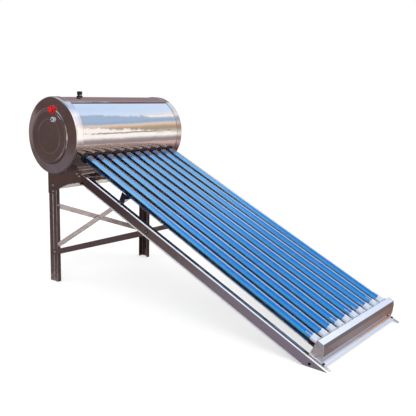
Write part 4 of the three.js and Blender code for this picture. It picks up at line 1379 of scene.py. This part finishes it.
def bolt(name, at, axis, grip, material=BOLT_STEEL, replaces=None):
    """Flanged hex bolt with its head on +axis; the nut is behind a grip of sheets."""
    axis = axis.normalized()
    across = axis.orthogonal().normalized()
    other = axis.cross(across)

    def place(u, v, w):
        return at + across * u + other * v + axis * w

    def turned(profile, sides=24):
        return lathe(profile, sides, at, axis, across)

    head = boolean(prism(HEXAGON, place, 1.2, 5.4),
                   turned([(4.6, 5.6), (7, 4.2), (7, 7), (0, 7), (0, 5.6)]))
    flange = turned([(0, 0), (6.6, 0), (6.8, 0.5), (6.4, 1.0), (4.9, 1.7), (0, 1.7)])
    shank = turned([(0, -grip - 9.0), (2.4, -grip - 9.0), (3.0, -grip - 8.2), (3.0, 0.5),
                    (0, 0.5)], 20)
    nut = prism(HEXAGON, place, -grip - 5.2, -grip - 0.8)
    washer = turned([(0, -grip - 0.9), (6.6, -grip - 0.9), (6.6, -grip), (0, -grip)])
    piece(name, boolean(head, flange, shank, nut, washer, op="UNION"), material, "pale_steel",
          28, replaces, bevel=0.25, bevel_steps=1)


# name, x, y, z, grip, material
SIDE_BOLTS = [
    ("saddle_leg_bolt_1", 417.0, 55, 613, 5.0, BOLT_STEEL),
    ("saddle_leg_bolt_2", 417.0, 56, 575, 5.0, BOLT_STEEL),
    ("saddle_rail_bolt_1", 419.4, -226, 660, 5.2, BLACK_BOLT),
    ("saddle_front_bolt_1", 417.0, -172, 708, 3.0, BOLT_STEEL),
    ("saddle_front_bolt_2", 417.0, -193, 695, 3.0, BOLT_STEEL),
    ("strut_leg_bolt", 417.1, *STRUT_BOLT, 6.0, BOLT_STEEL)]
RAIL_WASHER = [(3.2, 419.35), (11.4, 419.35), (11.6, 419.7), (11.2, 420.5), (10.4, 420.65),
               (3.2, 420.65)]
for side, sign in SIDES:
    outward = X_DIR * sign
    for name, x, y, z, grip, material in SIDE_BOLTS:
        bolt(f"{side}_{name}", Vector((sign * x, y, z)), outward, grip, material)
    bolt(f"{side}_rail_bolt_set", Vector((sign * 420.7, *RAIL_BOLT)), outward, grip=6.6,
         replaces=f"{side}_rail_bolt")
    piece(f"{side}_rail_bolt_washer",
          lathe(RAIL_WASHER, 32, Vector((0, *RAIL_BOLT)), outward, loop=True),
          BLACK_BOLT, "pale_steel", 30)
    bolt(f"{side}_toe_bolt", Vector((sign * 419.4, *TOE_BOLT)), outward, grip=1.7,
         material=BLACK_BOLT)
    bolt(f"{side}_rest_bolt", rest_place(sign * (REST_HALF + 7.5), REST_FOOT + SHEET, 0),
         TUBE_UP, grip=4.4)
    bolt(f"{side}_tail_bolt", tail_bolt_at(sign, lift=SHEET), RAIL_UP, grip=4.0,
         material=BLACK_BOLT)

# Where the braces' lines cross, measured from the left bolts
BRACE_FALL = (486 - 193) / (2 * BRACE_X)
BRACE_RISE = (541 - 239) / (2 * BRACE_X)
crossing = (486 - 239) / (BRACE_RISE + BRACE_FALL)
# name, x, y, z, grip
REAR_BOLTS = [
    ("brace_bolt_high_left", -BRACE_X, 24.9, 492, 4.6),
    ("brace_bolt_low_left", -BRACE_X, 23.0, 241.5, 4.6),
    ("brace_bolt_high_right", BRACE_X, 23.0, 543.5, 4.6),
    ("brace_bolt_low_right", BRACE_X, 24.9, 195.5, 4.6),
    ("brace_cross_bolt", -BRACE_X + crossing, 23.1, 488.5 - BRACE_FALL * crossing, 6.0)]
REAR_BOLTS += [(f"cross_member_bolt_{side}_{k + 1}", sign * BRACE_X, 25.0, z, 3.6)
               for side, sign in SIDES for k, z in enumerate((604, 628))]
for name, x, y, z, grip in REAR_BOLTS:
    bolt(name, Vector((x, y, z)), -Y_DIR, grip)

SCREW = [(0, 1.9), (1.6, 1.75), (2.9, 1.1), (3.5, 0.1), (3.5, -0.3), (1.8, -0.3), (1.8, -7),
         (0, -8)]
for side, sign in SIDES:
    for k, place in enumerate(TAIL_SCREWS):
        at = Vector((sign * (TAIL_HALF + 2.7), *slope_yz(*place)))
        piece(f"{side}_plate_screw_{k + 1}", lathe(SCREW, 28, at, X_DIR * sign), BOLT_STEEL,
              "pale_steel", 30)

# ------------------------------------------------------------------ CAD nodes still shown
for name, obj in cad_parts.items():
    if not obj.hide_render and name != "foam_insulation":
        recoat(obj, INNER_STEEL)

# ------------------------------------------------------------------ world
# Surroundings seen in the steel: (elevation in degrees, sRGB red, green, blue)
FRONT_BAND = [
    (-90, 66, 58, 58), (-50, 70, 59, 58), (-38, 76, 62, 58), (-33, 112, 88, 86),
    (-29, 152, 121, 119), (-26, 200, 170, 167), (-22, 196, 168, 165), (-20, 150, 135, 134),
    (-16, 152, 139, 139), (-12, 164, 151, 153), (-9, 212, 203, 198), (-6, 253, 246, 238),
    (-2, 238, 226, 214), (0, 214, 206, 196), (3, 204, 196, 184), (5.5, 184, 174, 156),
    (8, 168, 152, 130), (13, 182, 160, 136), (16, 216, 180, 154), (20, 228, 208, 193),
    (23, 196, 196, 200), (26, 152, 176, 206), (30, 166, 183, 207), (32, 214, 214, 222),
    (34, 254, 251, 246), (37, 244, 228, 220), (39, 212, 228, 249), (60, 188, 212, 246),
    (90, 150, 186, 236)]
LEFT_BAND = [
    (-90, 56, 46, 46), (-40, 84, 74, 78), (-25, 112, 101, 106), (-16, 100, 87, 88),
    (-10, 92, 77, 75), (-3, 90, 74, 72), (4, 92, 75, 73), (16, 92, 74, 73), (28, 96, 80, 80),
    (38, 150, 148, 156), (46, 206, 216, 234), (90, 150, 186, 236)]
BACK_BAND = [
    (-90, 56, 48, 48), (-12, 104, 90, 90), (0, 150, 132, 134), (8, 168, 152, 157),
    (19, 140, 118, 124), (27, 146, 126, 130), (34, 152, 129, 133), (41.5, 160, 142, 146),
    (44, 212, 227, 246), (90, 150, 186, 236)]
WHITE = (1.0, 1.0, 1.0)


def make_world():
    """Painted surroundings for reflections; plain white for the camera and diffuse light."""
    world = bpy.data.worlds.new("studio")
    bpy.context.scene.world = world
    world.use_nodes = True
    world.node_tree.nodes.clear()
    tree = Shader(world.node_tree)
    place = tree.coords("Generated")
    x, y, z = tree.split(place)
    slow = tree.noise(place, scale=3.2, stretch=(1, 1, 2.5))
    quick = tree.noise(place, scale=14.0, detail=3, rough=0.5)
    height = tree.maths("ADD", z, tree.remap(slow, (0.3, 0.7), to=(-0.022, 0.022)))
    height = tree.maths("ADD", height, tree.remap(quick, (0.3, 0.7), to=(-0.006, 0.006)))
    height = tree.maths("MINIMUM", tree.maths("MAXIMUM", height, -1.0), 1.0)
    elevation = tree.maths("ARCSINE", height)
    climb = tree.remap(elevation, (-math.pi / 2, math.pi / 2))

    def band(stops):
        return tree.ramp(climb, [((degrees + 90) / 180, srgb(*channels))
                                 for degrees, *channels in stops])

    level = tree.add("CombineXYZ", {0: x, 1: y}).outputs[0]
    level = tree.add("VectorMath", {0: level}, operation="NORMALIZE").outputs[0]

    def toward(azimuth, half, soft):
        """A sector of the horizon, all in degrees."""
        azimuth = math.radians(azimuth)
        way = (math.cos(azimuth), math.sin(azimuth), 0)
        span = (math.cos(math.radians(half + soft)), math.cos(math.radians(half - soft)))
        return tree.remap(tree.dot(level, way), span, smooth=True)

    # The front has a slanting patch of blue sky, and a bright wall low down
    azimuth_deg = tree.times(tree.maths("ARCTAN2", y, x), 180 / math.pi)
    elevation_deg = tree.times(elevation, 180 / math.pi)
    inside = tree.remap(azimuth_deg, (-60, -54), smooth=True)

    def patch(below, lean, edge, soft, rise, fall, colour):
        """Lays a colour on one side of an edge whose azimuth leans with elevation."""
        beyond = tree.maths("SUBTRACT", tree.maths("MULTIPLY_ADD", elevation_deg, lean, edge),
                            azimuth_deg)
        mask = tree.times(tree.remap(beyond, (-soft, soft), smooth=True),
                          tree.window(elevation_deg, rise, fall), inside)
        return tree.mix(mask, below, colour)

    front = patch(band(FRONT_BAND), lean=0.444, edge=-45.2, soft=1, rise=(27, 30),
                  fall=(42, 44), colour=srgb(166, 184, 209))
    front = patch(front, lean=-0.287, edge=-42.6, soft=0.8, rise=(-7.5, -5.5),
                  fall=(17, 20), colour=srgb(255, 247, 242))
    colour = tree.mix(toward(62, half=40, soft=3), front, band(BACK_BAND))
    colour = tree.mix(toward(146, half=45, soft=8), colour, band(LEFT_BAND))

    # Dark line of trees along the horizon
    clumps = tree.noise(place, scale=9.0, detail=3, rough=0.6, stretch=(1, 1, 0.3))
    trees = tree.times(
        tree.window(elevation, rise=(math.radians(2.2), math.radians(3.0)),
                    fall=(math.radians(4.6), math.radians(5.6))),
        tree.remap(clumps, (0.48, 0.60), to=(0, 0.85), smooth=True),
        toward(0, half=60, soft=10))
    colour = tree.mix(trees, colour, srgb(128, 118, 92))
    path = tree.add("LightPath").outputs
    colour = tree.mix(path["Is Diffuse Ray"], colour, WHITE)
    colour = tree.mix(path["Is Camera Ray"], colour, WHITE)
    background = tree.add("Background", {"Color": colour, "Strength": 1.0})
    tree.add("OutputWorld", {0: background.outputs[0]})
    world.cycles.sampling_method = "NONE"


# ------------------------------------------------------------------ floor, lights and camera
def make_floor(half=30):
    bm = bmesh.new()
    for x, y in ((-half, -half), (half, -half), (half, half), (-half, half)):
        bm.verts.new((x, y, 0))
    bm.faces.new(bm.verts)
    floor = object_from(bm, "studio_floor")
    material, tree = new_material("pale_floor")
    patches = tree.remap(tree.noise(tree.coords(), scale=1.2, detail=3), (0.3, 0.7))
    tree.surface({"Base Color": tree.mix(patches, (0.44, 0.44, 0.44), (0.42, 0.42, 0.425)),
                  "Emission Color": (1, 1, 1, 1), "Emission Strength": 0.62,
                  "Roughness": 0.9, "Specular IOR Level": 0.0})
    floor.data.materials.append(material)
    floor.visible_glossy = False


def softbox(name, location, power, size=4.0, target=(0, 0, 0.4)):
    light = bpy.data.lights.new(name, "AREA")
    light.shape, light.size, light.size_y = "RECTANGLE", size, size
    light.energy, light.color = power, (1, 1, 1)
    obj = link_object(name, light)
    obj.location = location
    obj.rotation_mode = "QUATERNION"
    way = Vector(target) - Vector(location)
    obj.rotation_quaternion = way.to_track_quat("-Z", "Y")
    obj.visible_glossy = False
    obj.visible_camera = False


def make_camera(yaw, pitch, roll, from_tank):
    """Camera at a place from the tank's axis in metres; angles in radians."""
    data = bpy.data.cameras.new("camera")
    camera = link_object("camera", data)
    bpy.context.scene.camera = camera
    forward = Vector((-math.sin(yaw) * math.cos(pitch), math.cos(yaw) * math.cos(pitch),
                      -math.sin(pitch)))
    right = forward.cross(Z_DIR).normalized()
    up = right.cross(forward)
    rolled_right = right * math.cos(roll) + up * math.sin(roll)
    rolled_up = -right * math.sin(roll) + up * math.cos(roll)
    matrix = Matrix((rolled_right, rolled_up, -forward)).transposed().to_4x4()
    matrix.translation = Vector((0, TANK_Y, TANK_Z / 1000)) + Vector(from_tank)
    camera.matrix_world = matrix
    data.sensor_width = 36.0
    data.lens = 53.248846154
    data.clip_start, data.clip_end = 0.05, 200


make_world()
make_floor()
softbox("key_softbox", (-3.5, -3.0, 5.5), power=170)
softbox("fill_softbox", (4.5, -3.5, 4.0), power=70)
make_camera(yaw=-0.9021, pitch=0.1923, roll=0.0281, from_tank=(-2.7555, -3.0153, 0.3040))

# ------------------------------------------------------------------ render settings
view = bpy.context.scene.view_settings
view.view_transform = "Standard"
view.look = "None"
view.exposure = 0.0
view.gamma = 1.0
cycles = bpy.context.scene.cycles
cycles.use_denoising = True
cycles.transparent_max_bounces = 64
cycles.max_bounces = 12
cycles.glossy_bounces = 8
cycles.diffuse_bounces = 3
cycles.caustics_reflective = False
cycles.caustics_refractive = False
cycles.sample_clamp_indirect = 6.0
